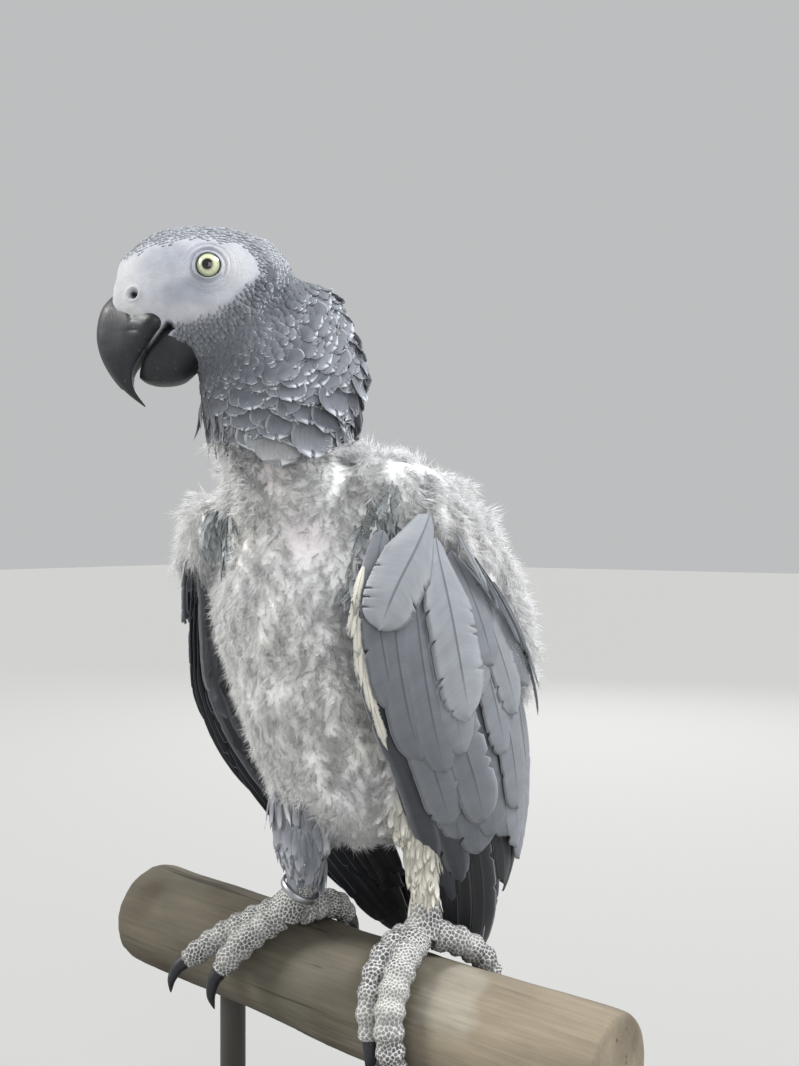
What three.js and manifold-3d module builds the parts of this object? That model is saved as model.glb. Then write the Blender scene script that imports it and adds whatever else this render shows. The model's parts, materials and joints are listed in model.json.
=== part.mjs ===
// A grey parrot, life size, standing on a cut length of branch that a plain display stand holds.
// Millimetres, +Z up, the origin under the middle of the stand. The trunk faces -Y, so the bird's
// left is +X, and the branch lies along X. The head is turned to the bird's right.
import * as THREE from "three";
import { mergeVertices } from "three/addons/utils/BufferGeometryUtils.js";
import Module from "manifold-3d";

const wasm = await Module();
wasm.setup();

// Driving sizes.
const gap = 0.3; // between neighbouring solids
const trim = 0.03; // how far a cut solid's surface may be simplified
const vaneThick = 1; // a feather blade
const perchRadius = 18;
const perchHeight = 89.5; // its axis over the underside of the base
const perchEnds = [-101, 92];
const perchDrop = { height: 4, from: -4, run: 45 }; // the branch bends down towards its -X end
const perchWobble = 0.35; // unevenness of the branch's section
const base = { length: 176, width: 132, height: 12, corner: 14 };
const rod = { radius: 4.5, x: [-58, 54] };
const headAt = [-19.6, -47.1, 310.9]; // middle of the skull, level with the cere's top
const headTurn = 44; // degrees to the bird's right
const eyeRadius = 4.6;
const eyeAt = [-1.2, 3.6, 14.7]; // forward, up and aside from headAt
const clawShape = [[0, 0, 1], [4, 0.4, 0.86], [8, 2.4, 0.6], [10.6, 5.8, 0.16]]; // along, drop, size
const clawRadius = 0.72; // of the toe's end
const ring = { radius: 6.7, band: 2, thick: 0.8, along: 0.72 };
const coverts = { count: 4, width: 24, lift: 3.7, sink: 5, steps: 3, point: 0.45 };
const secondaries = { count: 5, width: 17.5, lift: 1, steps: 3, point: 0.5 };
const primaries = { count: 4, width: [9, 20], lift: -1.4, steps: 3, point: 0.8 };
const tailFeathers = { count: 4, width: 15, steps: 3, point: 0.5 };
const shingle = 0.25; // each wing feather lies this far over the one before

const V = (x, y, z) => new THREE.Vector3(x, y, z);
const lerp = (a, b, t) => a + (b - a) * t;
const deg = THREE.MathUtils.degToRad;

// A closed solid from rings of points, with a fan over each end. `turnedQuads` are the places round
// the ring whose quads split the other way.
function solidOfRings(rings, turnedQuads = []) {
  const count = rings[0].length;
  const points = rings.flat();
  const faces = [];
  for (let i = 0; i + 1 < rings.length; i++)
    for (let j = 0; j < count; j++) {
      const a = i * count + j;
      const b = i * count + ((j + 1) % count);
      const [c, d] = [b + count, a + count];
      faces.push(...(turnedQuads.includes(j) ? [a, b, d, b, c, d] : [a, b, c, a, c, d]));
    }
  for (const [end, flip] of [[0, true], [rings.length - 1, false]]) {
    const middle = V(0, 0, 0);
    rings[end].forEach((p) => middle.addScaledVector(p, 1 / count));
    points.push(middle);
    for (let j = 0; j < count; j++) {
      const a = end * count + j;
      const b = end * count + ((j + 1) % count);
      faces.push(...(flip ? [b, a, points.length - 1] : [a, b, points.length - 1]));
    }
  }
  return solidOfGeometry(new THREE.BufferGeometry().setFromPoints(points).setIndex(faces));
}

// A manifold solid of a closed geometry, whichever way its faces were wound.
function solidOfGeometry(geometry) {
  geometry.deleteAttribute("normal");
  geometry.deleteAttribute("uv");
  const merged = mergeVertices(geometry, 1e-4);
  const build = (tris) =>
    new wasm.Manifold(
      new wasm.Mesh({
        numProp: 3,
        vertProperties: new Float32Array(merged.attributes.position.array),
        triVerts: tris,
      }),
    );
  const solid = build(new Uint32Array(merged.index.array));
  return solid.volume() > 0 ? solid : build(new Uint32Array(merged.index.array).reverse());
}

const join = (solids) => solids.reduce((a, b) => a.add(b));
const cut = (solid, tools) => tools.reduce((a, b) => a.subtract(b), solid);
// The largest body, for a solid whose cuts may leave slivers.
const mainBody = (solid) =>
  solid.decompose().sort((a, b) => b.volume() - a.volume())[0];

const step = 0.02; // for a direction along a curve or a surface

// Stations hold an array of numbers each; a Catmull-Rom curve runs through every one of them.
function along(stations, u) {
  const last = stations.length - 1;
  const i = Math.min(Math.floor(u * last), last - 1);
  const f = u * last - i;
  const at = (k) => stations[Math.max(0, Math.min(last, k))];
  return stations[i].map((_, n) => {
    const [a, b, c, d] = [at(i - 1)[n], at(i)[n], at(i + 1)[n], at(i + 2)[n]];
    return b + 0.5 * f * (c - a + f * (2 * a - 5 * b + 4 * c - d + f * (3 * (b - c) + d - a)));
  });
}

// A loft whose stations are [x, y, z, side, front, back]: a centre and three half sizes. Each ring
// stands square to the path, with its front towards `facing(u)`.
function loft(stations, { facing, around = 24, steps = 12, grow = 0 }) {
  const rings = [];
  for (let k = 0; k <= steps; k++) {
    const u = k / steps;
    const [x, y, z, side, front, back] = along(stations, u);
    const before = along(stations, Math.max(0, u - step));
    const after = along(stations, Math.min(1, u + step));
    const path = V(after[0] - before[0], after[1] - before[1], after[2] - before[2]).normalize();
    const towards = facing(u);
    towards.addScaledVector(path, -towards.dot(path)).normalize();
    const left = path.clone().cross(towards);
    const shift = k === 0 ? -grow : k === steps ? grow : 0;
    rings.push(
      Array.from({ length: around }, (_, j) => {
        const angle = (2 * Math.PI * j) / around;
        const s = Math.cos(angle) * (side + grow);
        const f = Math.sin(angle) * ((Math.sin(angle) > 0 ? front : back) + grow);
        return V(x, y, z).addScaledVector(left, s).addScaledVector(towards, f)
          .addScaledVector(path, shift);
      }),
    );
  }
  return solidOfRings(rings);
}

const turned = (degrees) => V(-Math.sin(deg(degrees)), -Math.cos(deg(degrees)), 0);
const upward = () => V(0, 0, 1);

// A limb through [x, y, z, radius] stations, or [x, y, z, radius, thickness] where it is flatter.
const limb = (stations, { around = 12, steps = 8, grow = 0, facing } = {}) =>
  loft(stations.map(([x, y, z, r, flat = r]) => [x, y, z, r, flat, flat]), {
    facing: facing ?? (() => V(1, 0, 0)), around, steps, grow });

// The head's own directions, and a point given as forward, up and to the head's left.
const ahead = turned(headTurn);
const leftward = V(0, 0, 1).cross(ahead);
const inHead = (forward, up, left = 0) =>
  V(...headAt).addScaledVector(ahead, forward).addScaledVector(leftward, left).setZ(headAt[2] + up);

// ---- trunk, neck, head ----

const trunkPath = [
  [-1, 24, 133, 3, 3, 3],
  [-2, 23, 137, 18, 17, 17],
  [-3, 21, 145, 28, 28, 27],
  [-4, 17, 158, 36, 37, 36],
  [-5, 12, 176, 41, 41, 41],
  [-6, 6, 198, 43, 43, 43],
  [-8, -2, 222, 42, 41, 40],
  [-9, -10, 243, 34, 33, 32],
  [-10, -17, 257, 26, 25, 24],
  [-10, -20, 264, 20, 19, 19],
];
const neckPath = [
  [-10, -18, 250, 19, 19, 20],
  [-11, -22, 262, 19.5, 20.5, 23],
  [-11, -26, 274, 20.5, 22.5, 27.5],
  [-10, -30, 287, 20.5, 23.5, 30],
  [-10, -33, 299, 19, 22, 27],
  [-11, -36, 308, 16, 19, 22],
  [-12, -38, 314, 8, 10, 11],
];
const headPath = [
  [-29, -8, 3, 3, 3],
  [-27, -7.5, 9, 10, 10],
  [-20, -5.5, 15.5, 17.5, 17],
  [-10, -3.5, 18.5, 21.2, 21],
  [2, -3, 18.5, 22, 22],
  [13, -3.5, 15.5, 20.2, 18],
  [20, -4, 11.5, 15.5, 12],
  [24.5, -4.5, 7.5, 9.5, 7],
  [26.5, -4.5, 4, 5, 4],
].map(([forward, up, side, over, under]) => [...inHead(forward, up), side, over, under]);

const rumpPath = [[-3, 16, 172, 20], [-3.5, 28, 161, 20], [-4, 38, 150, 16.5],
  [-4, 45, 139, 12.5, 11], [-4, 50, 128, 9, 6], [-4, 51.5, 123, 5, 3]];

const trunkOf = (grow) => join([
  loft(trunkPath, { facing: () => turned(2), around: 24, steps: 13, grow }),
  limb(rumpPath, { around: 14, steps: 6, grow }),
]);
const neckOf = (grow) =>
  loft(neckPath, { facing: (u) => turned(lerp(8, headTurn, u)), around: 20, steps: 8, grow });
const headOf = (grow) => loft(headPath, { facing: upward, around: 18, steps: 9, grow });

// ---- bill and eyes ----

// Rings given by their outer and inner points in the head's forward and up plane, and a half width.
function billOf(rows, grow, around = 12) {
  const steps = (rows.length - 1) * 2;
  return solidOfRings(
    Array.from({ length: steps + 1 }, (_, k) => {
      const [of_, ou, if_, iu, width] = along(rows, k / steps);
      const half = V(0, 0, (ou - iu) / 2).addScaledVector(ahead, (of_ - if_) / 2);
      const swell = (half.length() + grow) / half.length();
      const middle = inHead((of_ + if_) / 2, (ou + iu) / 2);
      return Array.from({ length: around }, (_, j) => {
        const angle = (2 * Math.PI * j) / around;
        return middle.clone().addScaledVector(half, Math.sin(angle) * swell)
          .addScaledVector(leftward, Math.cos(angle) * (width + grow));
      });
    }),
  );
}
const upperRows = [
  [25.5, -1.5, 12.6, -5.5, 7.6],
  [29.6, -6.5, 12.6, -11.2, 7.6],
  [31.2, -13.5, 15.3, -16, 6.9],
  [30.3, -20, 18.4, -20.8, 5.8],
  [27.4, -26, 20.8, -25.6, 4.2],
  [23.3, -31, 20.4, -30.2, 2.4],
  [17.7, -35.4, 17.4, -35.1, 0.5],
];
const lowerRows = [
  [2.4, -24.5, 7.5, -12.5, 7.4],
  [6.5, -28, 11.6, -12.2, 7.3],
  [12, -29.1, 14, -15.6, 6.8],
  [16.5, -28.4, 16.4, -19.4, 5.6],
  [19.3, -27, 18.4, -22, 3.8],
];
const upperBill = (grow) => billOf(upperRows, grow);
const lowerBill = (grow) => billOf(lowerRows, grow);

const ball = (centre, radius, across = 10) =>
  solidOfGeometry(new THREE.SphereGeometry(radius, across, across / 2)
    .rotateX(Math.PI / 2).translate(centre.x, centre.y, centre.z));
const eyeOf = (side, grow) =>
  ball(inHead(eyeAt[0], eyeAt[1], side * eyeAt[2]), eyeRadius + grow);

// ---- wings ----

// A wing lies on a surface between its leading and trailing edges, from the wrist down to the tip.
function wingSurface(leading, trailing, bulge, outward) {
  const place = (t, w) => {
    const front = V(...along(leading, t));
    const chord = V(...along(trailing, t)).sub(front);
    const out = V(...outward);
    out.addScaledVector(chord, -out.dot(chord) / chord.lengthSq()).normalize();
    return front.addScaledVector(chord, w).addScaledVector(out, bulge * 4 * w * (1 - w));
  };
  const normal = (t, w) => {
    const down = place(Math.min(1, t + step), w).sub(place(Math.max(0, t - step), w));
    const back = place(t, Math.min(1, w + step)).sub(place(t, Math.max(0, w - step)));
    const square = down.cross(back).normalize();
    return square.dot(V(...outward)) < 0 ? square.negate() : square;
  };
  return { place, normal };
}

const quillWidth = 0.55; // a feather's width at its root, as a share of its full width
const tipWidth = (u, point) => Math.min(1, Math.pow((1.02 - u) / 0.3, point));

// One feather as a thin blade from `root` to `tip`, both [t, w] on the surface.
function blade(surface, { root, tip, width, lift, sink = 0, steps, point }, grow) {
  const rings = [];
  for (let k = 0; k <= steps; k++) {
    const u = k / steps;
    const [t, w] = [lerp(root[0], tip[0], u), lerp(root[1], tip[1], u)];
    const next = surface.place(t + (tip[0] - root[0]) * step, w + (tip[1] - root[1]) * step);
    const at = surface.place(t, w);
    const run = next.sub(at).normalize();
    const up = surface.normal(t, w);
    const across = up.clone().cross(run).normalize();
    const half = (width / 2) * Math.min(1, quillWidth + 2.2 * u) * tipWidth(u, point) + grow;
    const middle = at.addScaledVector(up, lift - sink * Math.pow(1 - u, 3));
    const thick = vaneThick / 2 + grow;
    rings.push([[1, 1], [-1, 1], [-1, -1], [1, -1]].map(([s, v]) =>
      middle.clone().addScaledVector(across, s * half).addScaledVector(up, v * thick)
        .addScaledVector(run, (k === 0 ? -grow : 0) + (k === steps ? grow : 0))));
  }
  // The underside splits as the upper side does, so that a twisted vane keeps its thickness.
  return solidOfRings(rings, [2]);
}
const row = (surface, count, feather) => (grow) =>
  join(Array.from({ length: count }, (_, i) => blade(surface, feather(i / (count - 1), i), grow)));

const leftSurface = wingSurface(
  [[30, -16, 256], [31, -30, 232], [32, -33, 212], [32, -25, 186], [30, -6, 157],
   [27.5, 10, 132], [25, 19, 111], [23, 24, 94]],
  [[33, 8, 246], [40, 17, 230], [43, 27, 209], [43, 34, 186], [41, 38, 162], [38, 40, 142],
   [34, 39, 122], [21, 35, 97]],
  5, [0.9, -0.4, 0.1],
);
const rightSurface = wingSurface(
  [[-43, -35, 238], [-44, -31, 220], [-47, -27, 202], [-51, -20, 183], [-49.5, -9, 162],
   [-41, 6, 138], [-29, 25, 113], [-20, 37, 94]],
  [[-45, 2, 244], [-50, 12, 226], [-51, 24, 206], [-48, 33, 185], [-41, 40, 162],
   [-30, 42, 140], [-14, 40, 116], [-5, 41, 93]],
  5, [-0.95, -0.1, 0.1],
);

const wings = {
  left: {
    arm: [[10, -16, 255, 7, 5], [18, -12, 253, 13, 11.5], [26, -1, 244, 16.5, 13],
      [31.5, 11.5, 230, 18.5, 13.5], [34, 22.5, 213, 19, 13.5], [34.5, 31, 196, 17, 12],
      [33, 35.5, 182, 11, 7.5], [32, 37, 174, 4, 2.5]],
    surface: leftSurface,
    spread: 0.25,
  },
  right: {
    arm: [[-28, -28, 246, 6, 6], [-37, -26, 241, 12.5, 13], [-44, -19, 230, 15, 14],
      [-45.5, -5, 217, 17, 13], [-44, 9, 203, 17.5, 11.5], [-42, 20, 187, 15, 10],
      [-40, 28, 174, 9, 6], [-39, 31, 167, 4, 2.5]],
    surface: rightSurface,
    spread: 1,
  },
};
for (const wing of Object.values(wings)) {
  wing.armOf = (grow) => limb(wing.arm, { around: 12, steps: 8, grow });
  wing.coverts = row(wing.surface, coverts.count, (u, i) => ({
    ...coverts,
    root: [lerp(0.04, 0.2, u), lerp(0.16, 0.7, u)],
    tip: [lerp(0.42, 0.6, u), lerp(0.14, 0.86, u)],
    lift: coverts.lift + shingle * i,
  }));
  wing.secondaries = row(wing.surface, secondaries.count, (u, i) => ({
    ...secondaries,
    root: [lerp(0.34, 0.24, u), lerp(0.26, 0.76, u)],
    tip: [lerp(0.66, 0.83, u), lerp(0.26, 0.92, u)],
    lift: secondaries.lift + shingle * i,
  }));
  wing.primaries = row(wing.surface, primaries.count, (u, i) => ({
    ...primaries,
    root: [lerp(0.4, 0.46, u), lerp(0.08, 0.5 * wing.spread, u)],
    tip: [[0.94, 0.99, 1, 0.97][i], lerp(0.06, wing.spread, u)],
    width: lerp(...primaries.width, wing.spread),
    lift: primaries.lift + shingle * i,
  }));
}

// ---- tail ----

const tailSurface = wingSurface(
  [[-11, 42, 150], [-14, 49, 130], [-17, 54, 109], [-19, 57, 86]],
  [[4, 43, 150], [6, 50, 130], [7.5, 55.5, 109], [8, 58.5, 86]],
  2, [0.1, 0.9, 0.35],
);
const tailOf = row(tailSurface, tailFeathers.count, (u, i) => ({
  ...tailFeathers,
  root: [0, lerp(0.3, 0.7, u)],
  tip: [0.98 - 0.1 * Math.abs(2 * u - 1), lerp(0.12, 0.88, u)],
  lift: 0.35 * Math.min(i, tailFeathers.count - 1 - i),
}));

// ---- legs ----

const legs = {
  left: {
    thigh: [[15, -1, 178, 13], [18, 1, 164, 9.5], [20.5, 3, 148, 6.6], [22.5, 4.5, 134, 6],
      [23.5, 5.5, 124, 5.4]],
    foot: [[23.6, 5.6, 122.6, 5], [24, 5, 117, 5.3], [23.5, 3, 112.6, 6.2]],
    toes: [
      [[21, 8, 112, 4.6], [17, 13, 108.6, 4.2], [13, 18, 103, 3.4]],
      [[21, -1, 112.6, 4.9], [20.8, -13, 108.4, 4.4], [22.4, -20.5, 99, 4],
        [24, -22, 89.5, 3.3]],
      [[25, -1, 113, 5.2], [28.4, -12.5, 109.4, 4.8], [30.8, -21.5, 99, 4.5],
        [32.2, -22.7, 88, 4.2], [33, -20.4, 80.4, 3.4]],
      [[27, 6, 112.6, 4.9], [32, 12, 109.8, 4.5], [36, 18, 104.6, 4.2],
        [38.5, 21.4, 98, 3.3]],
    ],
  },
  right: {
    thigh: [[-15, -4, 180, 15], [-16, -8, 164, 12.5], [-15.5, -10, 150, 10.6],
      [-13.5, -10, 138, 9], [-12.2, -9.4, 128.6, 6.8]],
    foot: [[-12, -9.3, 128, 4.9], [-16.4, -11, 120.4, 4.8], [-20.4, -12.4, 114.6, 6]],
    toes: [
      [[-18, -7, 113.6, 4.8], [-17, 1, 113.8, 4.6], [-17, 9, 111.6, 4.4],
        [-17.5, 15.5, 106.2, 3.4]],
      [[-21, -13, 113.4, 5], [-26.5, -19, 108.6, 4.7], [-31.5, -24.5, 102, 4.4],
        [-34.6, -27.4, 96.4, 3.4]],
      [[-23, -11, 113.6, 5.2], [-31, -16.5, 110, 4.8], [-41, -23, 103.6, 4.4],
        [-49.5, -28.4, 96.6, 3.4]],
      [[-23, -6, 114.4, 4.8], [-26, 3, 114, 4.5], [-28.5, 10.5, 111, 4.2],
        [-30, 16.5, 105.8, 3.3]],
    ],
  },
};
const perchOf = (grow) => {
  const { height, from, run } = perchDrop;
  const stations = [];
  for (let k = 0; k <= 8; k++) {
    const x = lerp(...perchEnds, k / 8);
    const z = perchHeight + height * (1 - Math.exp(Math.min(0, x - from) / run));
    const sizes = [0, 2, 4].map((p) => perchRadius + perchWobble * Math.sin(k * 1.7 + p));
    stations.push([x, 0, z, ...sizes]);
  }
  return loft(stations, { facing: upward, around: 20, steps: 6, grow });
};

const thighOf = (side, grow) => limb(legs[side].thigh, { around: 14, steps: 6, grow });
const footOf = (side, grow) => join([
  limb(legs[side].foot, { around: 8, steps: 3, grow }),
  ...legs[side].toes.map((toe) => limb(toe, { around: 8, steps: 4, grow })),
]);

// A claw carries on from a toe's end and hooks down.
function clawOf(path) {
  const [a, b] = path.slice(-2).map(([x, y, z]) => V(x, y, z));
  const run = b.clone().sub(a).normalize();
  const radius = path.at(-1)[3] * clawRadius;
  const bend = V(0, 0, -1).addScaledVector(run, run.z).normalize();
  const stations = clawShape.map(([forth, drop, size]) =>
    [...b.clone().addScaledVector(run, forth).addScaledVector(bend, drop), radius * size]);
  return limb(stations, { around: 6, steps: 4, facing: () => bend.clone() });
}

// ---- putting the solids together ----

const part = new THREE.Group();
const materials = {
  plume: { color: 0xd9d8d6, roughness: 0.95 }, // white down
  face: { color: 0xe3e4e6, roughness: 0.7 }, // bare powdery skin
  grey: { color: 0x8d9096, roughness: 0.8 }, // contour and covert feathers
  dark: { color: 0x3a3c41, roughness: 0.6 }, // flight feathers
  red: { color: 0xa32a1e, roughness: 0.7 },
  horn: { color: 0x1d1e21, roughness: 0.35 },
  eye: { color: 0xd6d5a0, roughness: 0.1 },
  scale: { color: 0x8f9298, roughness: 0.6 },
  metal: { color: 0xb9bbbd, roughness: 0.3, metalness: 1 },
  wood: { color: 0x8a7a63, roughness: 0.85 },
  stand: { color: 0x3b3833, roughness: 0.5 },
};

function add(name, solid, slot) {
  const mesh = mainBody(solid.asOriginal().simplify(trim)).getMesh();
  const geometry = new THREE.BufferGeometry()
    .setAttribute("position", new THREE.BufferAttribute(new Float32Array(mesh.vertProperties), 3))
    .setIndex(new THREE.BufferAttribute(new Uint32Array(mesh.triVerts), 1));
  geometry.computeVertexNormals();
  const made = new THREE.Mesh(
    geometry,
    new THREE.MeshStandardMaterial({ metalness: 0, ...materials[slot] }),
  );
  made.name = name;
  part.add(made);
}

const trunkGrown = trunkOf(gap);
const neckGrown = neckOf(gap);
const headGrown = headOf(gap);
const billGrown = [upperBill(gap), lowerBill(gap)];
const perchGrown = perchOf(gap);
const armsGrown = Object.values(wings).map((wing) => wing.armOf(gap));

add("bill_upper", upperBill(0), "horn");
add("bill_lower", cut(lowerBill(0), [billGrown[0]]), "horn");
add("eye_left", eyeOf(1, 0), "eye");
add("eye_right", eyeOf(-1, 0), "eye");
add("head", cut(headOf(0), [...billGrown, eyeOf(1, gap), eyeOf(-1, gap)]), "face");
add("neck", cut(neckOf(0), [headGrown, trunkGrown, ...billGrown]), "grey");
add("trunk", trunkOf(0), "plume");

for (const [side, wing] of Object.entries(wings)) {
  const body = [trunkGrown, neckGrown, wing.armOf(gap), thighOf(side, gap), footOf(side, gap)];
  const overPrimaries = [wing.coverts(gap), wing.secondaries(gap)];
  add(`wing_${side}_arm`, cut(wing.armOf(0), [trunkGrown, neckGrown]), "plume");
  add(`wing_${side}_coverts`, cut(wing.coverts(0), body), "grey");
  add(`wing_${side}_secondaries`, cut(wing.secondaries(0), [...body, overPrimaries[0]]), "grey");
  add(`wing_${side}_primaries`, cut(wing.primaries(0), [...body, ...overPrimaries]), "dark");
}
add("tail", cut(tailOf(0), [trunkGrown, ...armsGrown]), "red");

for (const side of Object.keys(legs)) {
  add(`thigh_${side}`, cut(thighOf(side, 0), [trunkGrown, ...armsGrown]), "plume");
  add(`foot_${side}`, cut(footOf(side, 0), [thighOf(side, gap), perchGrown]), "scale");
  const besideClaw = [perchGrown, footOf(side, gap)];
  legs[side].toes.forEach((toe, i) =>
    add(`claw_${side}_${i + 1}`, cut(clawOf(toe), besideClaw), "horn"));
}

// The closed ring hangs loose round the bird's right shank, square to it.
const [shankTop, shankEnd] = legs.right.foot.map(([x, y, z]) => V(x, y, z));
const [bore, edge] = [ring.radius - ring.thick, ring.band / 2];
const section = [[bore, -edge], [ring.radius, -edge], [ring.radius, edge], [bore, edge], [bore, -edge]];
const shankWay = new THREE.Quaternion().setFromUnitVectors(
  V(0, 1, 0), shankTop.clone().sub(shankEnd).normalize());
const ringBand = new THREE.LatheGeometry(section.map((p) => new THREE.Vector2(...p)), 20)
  .applyQuaternion(shankWay)
  .translate(...shankTop.clone().lerp(shankEnd, ring.along));
add("leg_ring", solidOfGeometry(ringBand), "metal");

// ---- perch and stand ----

// A rod from the base up to the branch's axis, before the branch is cut away from it.
const rodAt = (x) =>
  solidOfGeometry(
    new THREE.CylinderGeometry(rod.radius, rod.radius, perchHeight - base.height - gap, 20)
      .rotateX(Math.PI / 2)
      .translate(x, 0, (perchHeight + base.height + gap) / 2),
  );
add("perch", perchOf(0), "wood");
add("stand_rod_a", cut(rodAt(rod.x[0]), [perchGrown]), "stand");
add("stand_rod_b", cut(rodAt(rod.x[1]), [perchGrown]), "stand");

const [cornerX, cornerY] = [base.length / 2 - base.corner, base.width / 2 - base.corner];
const quarter = Math.PI / 2;
const plate = new THREE.Shape()
  .absarc(cornerX, -cornerY, base.corner, -quarter, 0)
  .absarc(cornerX, cornerY, base.corner, 0, quarter)
  .absarc(-cornerX, cornerY, base.corner, quarter, 2 * quarter)
  .absarc(-cornerX, -cornerY, base.corner, 2 * quarter, 3 * quarter);
const slab = { depth: base.height, bevelEnabled: false, curveSegments: 5 };
add("stand_base", solidOfGeometry(new THREE.ExtrudeGeometry(plate, slab)), "stand");

export default part;
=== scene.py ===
# A grey parrot, life size, moulting, on a cut branch that a plain display stand holds.
# Shapes are worked out in millimetres and made in metres, in the frame's own directions:
# +Z up, the trunk faces -Y, the bird's left is +X, the branch lies along X.
import json
import math
from functools import partial
import bpy
import bmesh
import numpy as np
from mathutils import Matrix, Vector, kdtree

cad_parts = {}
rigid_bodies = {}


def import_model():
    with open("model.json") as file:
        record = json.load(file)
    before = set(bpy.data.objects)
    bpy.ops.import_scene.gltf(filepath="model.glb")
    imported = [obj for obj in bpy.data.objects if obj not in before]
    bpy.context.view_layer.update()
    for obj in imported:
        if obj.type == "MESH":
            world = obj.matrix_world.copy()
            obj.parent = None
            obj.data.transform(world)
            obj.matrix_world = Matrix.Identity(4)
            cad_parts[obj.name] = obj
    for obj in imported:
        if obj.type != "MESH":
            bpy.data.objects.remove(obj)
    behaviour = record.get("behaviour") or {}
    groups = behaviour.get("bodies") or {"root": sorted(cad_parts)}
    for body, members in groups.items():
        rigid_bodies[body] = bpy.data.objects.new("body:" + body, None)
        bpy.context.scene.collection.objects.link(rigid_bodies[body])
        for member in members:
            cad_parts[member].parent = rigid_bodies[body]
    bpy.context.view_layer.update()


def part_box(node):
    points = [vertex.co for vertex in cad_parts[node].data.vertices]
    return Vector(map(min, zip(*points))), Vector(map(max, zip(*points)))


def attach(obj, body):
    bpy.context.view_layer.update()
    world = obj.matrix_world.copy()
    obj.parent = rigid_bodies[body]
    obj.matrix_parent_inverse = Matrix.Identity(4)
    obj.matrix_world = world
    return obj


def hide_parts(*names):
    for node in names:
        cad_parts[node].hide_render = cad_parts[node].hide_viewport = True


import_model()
mm = 0.001

def colour(code):  # sRGB hex to the linear colour that the shaders want
    channels = [int(code[k:k + 2], 16) / 255 for k in (0, 2, 4)]
    return tuple(c / 12.92 if c <= 0.04045 else ((c + 0.055) / 1.055) ** 2.4 for c in channels) + (1.0,)

def palette(codes):  # the linear red, green and blue of named colours
    return {name: np.array(colour(code)[:3]) for name, code in codes.items()}

def opaque(tints):  # a fourth channel of ones
    return np.hstack([tints, np.ones((len(tints), 1))])

def blend(a, b, amount):
    return a + (b - a) * np.clip(amount, 0, 1)

def ramp(value, low, high):  # 0 below low, 1 above high, smooth between
    t = np.clip((value - low) / (high - low), 0, 1)
    return t * t * (3 - 2 * t)

def unit(vectors):
    return vectors / np.maximum(np.linalg.norm(vectors, axis=-1, keepdims=True), 1e-9)

def addNode(tree, kind, wires=(), out=0, **settings):  # a node with its settings and links; gives one output
    made = tree.nodes.new(kind if "Node" in kind else "ShaderNode" + kind)
    for name, value in settings.items():
        setattr(made, name, value)
    for name, value in wires.items() if isinstance(wires, dict) else enumerate(wires):
        if isinstance(value, bpy.types.NodeSocket):
            tree.links.new(value, made.inputs[name])
        else:
            made.inputs[name].default_value = value
    return made.outputs[out]

def finishPiece(piece, replaced=()):
    for polygon in piece.data.polygons:
        polygon.use_smooth = True
    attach(piece, "root")
    if replaced:
        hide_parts(*replaced)
    return piece

def inScene(name, data):
    made = bpy.data.objects.new(name, data)
    bpy.context.scene.collection.objects.link(made)
    return made

def meshObject(name, points, faces, material=None):  # points in millimetres
    mesh = bpy.data.meshes.new(name)
    mesh.from_pydata((np.asarray(points) * mm).tolist(), [], faces)
    if material:
        mesh.materials.append(material)
    return inScene(name, mesh)

def facedOut(piece):  # all its faces turned outwards
    shape = bmesh.new()
    shape.from_mesh(piece.data)
    bmesh.ops.recalc_face_normals(shape, faces=shape.faces)
    shape.to_mesh(piece.data)
    shape.free()
    return piece

def storeAttribute(mesh, name, kind, values, domain="POINT"):
    layer = mesh.attributes.get(name) or mesh.attributes.new(name, kind, domain)
    key = {"FLOAT": "value", "FLOAT_COLOR": "color"}.get(kind, "vector")
    layer.data.foreach_set(key, np.asarray(values, np.float32).ravel())

def applied(carrier, name):  # the carrier's mesh with its modifiers applied, as a plain object of its own
    bpy.context.view_layer.update()
    seen = carrier.evaluated_get(bpy.context.evaluated_depsgraph_get())
    mesh = bpy.data.meshes.new_from_object(seen)
    bpy.data.objects.remove(carrier, do_unlink=True)
    mesh.name = name
    return inScene(name, mesh)

def readOut(items, key, width, kind=np.float32):  # one value or vector for each item, read all at once
    flat = np.empty(len(items) * width, kind)
    items.foreach_get(key, flat)
    return flat.reshape(-1, width)

def pointsOf(mesh):
    return readOut(mesh.vertices, "co", 3).astype(float) / mm

def normalsOf(mesh):
    return readOut(mesh.vertex_normals, "vector", 3).astype(float)

def edgesOf(mesh):
    return readOut(mesh.edges, "vertices", 2, np.int32)

def cornersOf(mesh):  # the point at each corner of each face
    return readOut(mesh.loops, "vertex_index", 1, np.int32)[:, 0]

def setPoints(mesh, points):
    mesh.vertices.foreach_set("co", (points * mm).astype(np.float32).ravel())
    mesh.update()

def treeOf(points):
    tree = kdtree.KDTree(len(points))
    for i, p in enumerate(points):
        tree.insert(p, i)
    tree.balance()
    return tree

def along(stations, u):  # a Catmull-Rom curve through every station
    rows = np.asarray(stations, float)
    last = len(rows) - 1
    u = np.atleast_1d(np.asarray(u, float))
    i = np.minimum(np.floor(u * last).astype(int), last - 1)
    f = (u * last - i)[:, None]
    a, b, c, d = (rows[np.clip(i + k, 0, last)] for k in (-1, 0, 1, 2))
    return b + 0.5 * f * (c - a + f * (2 * a - 5 * b + 4 * c - d + f * (3 * (b - c) + d - a)))

def ringFaces(rings, around, closed=True, looped=True):  # the faces between rings of points
    faces = []
    for i in range(rings - 1):
        for j in range(around if looped else around - 1):
            a, b = i * around + j, i * around + (j + 1) % around
            faces.append((a, b, b + around, a + around))
    if closed:
        faces.append(tuple(reversed(range(around))))
        faces.append(tuple(range((rings - 1) * around, rings * around)))
    return faces

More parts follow.
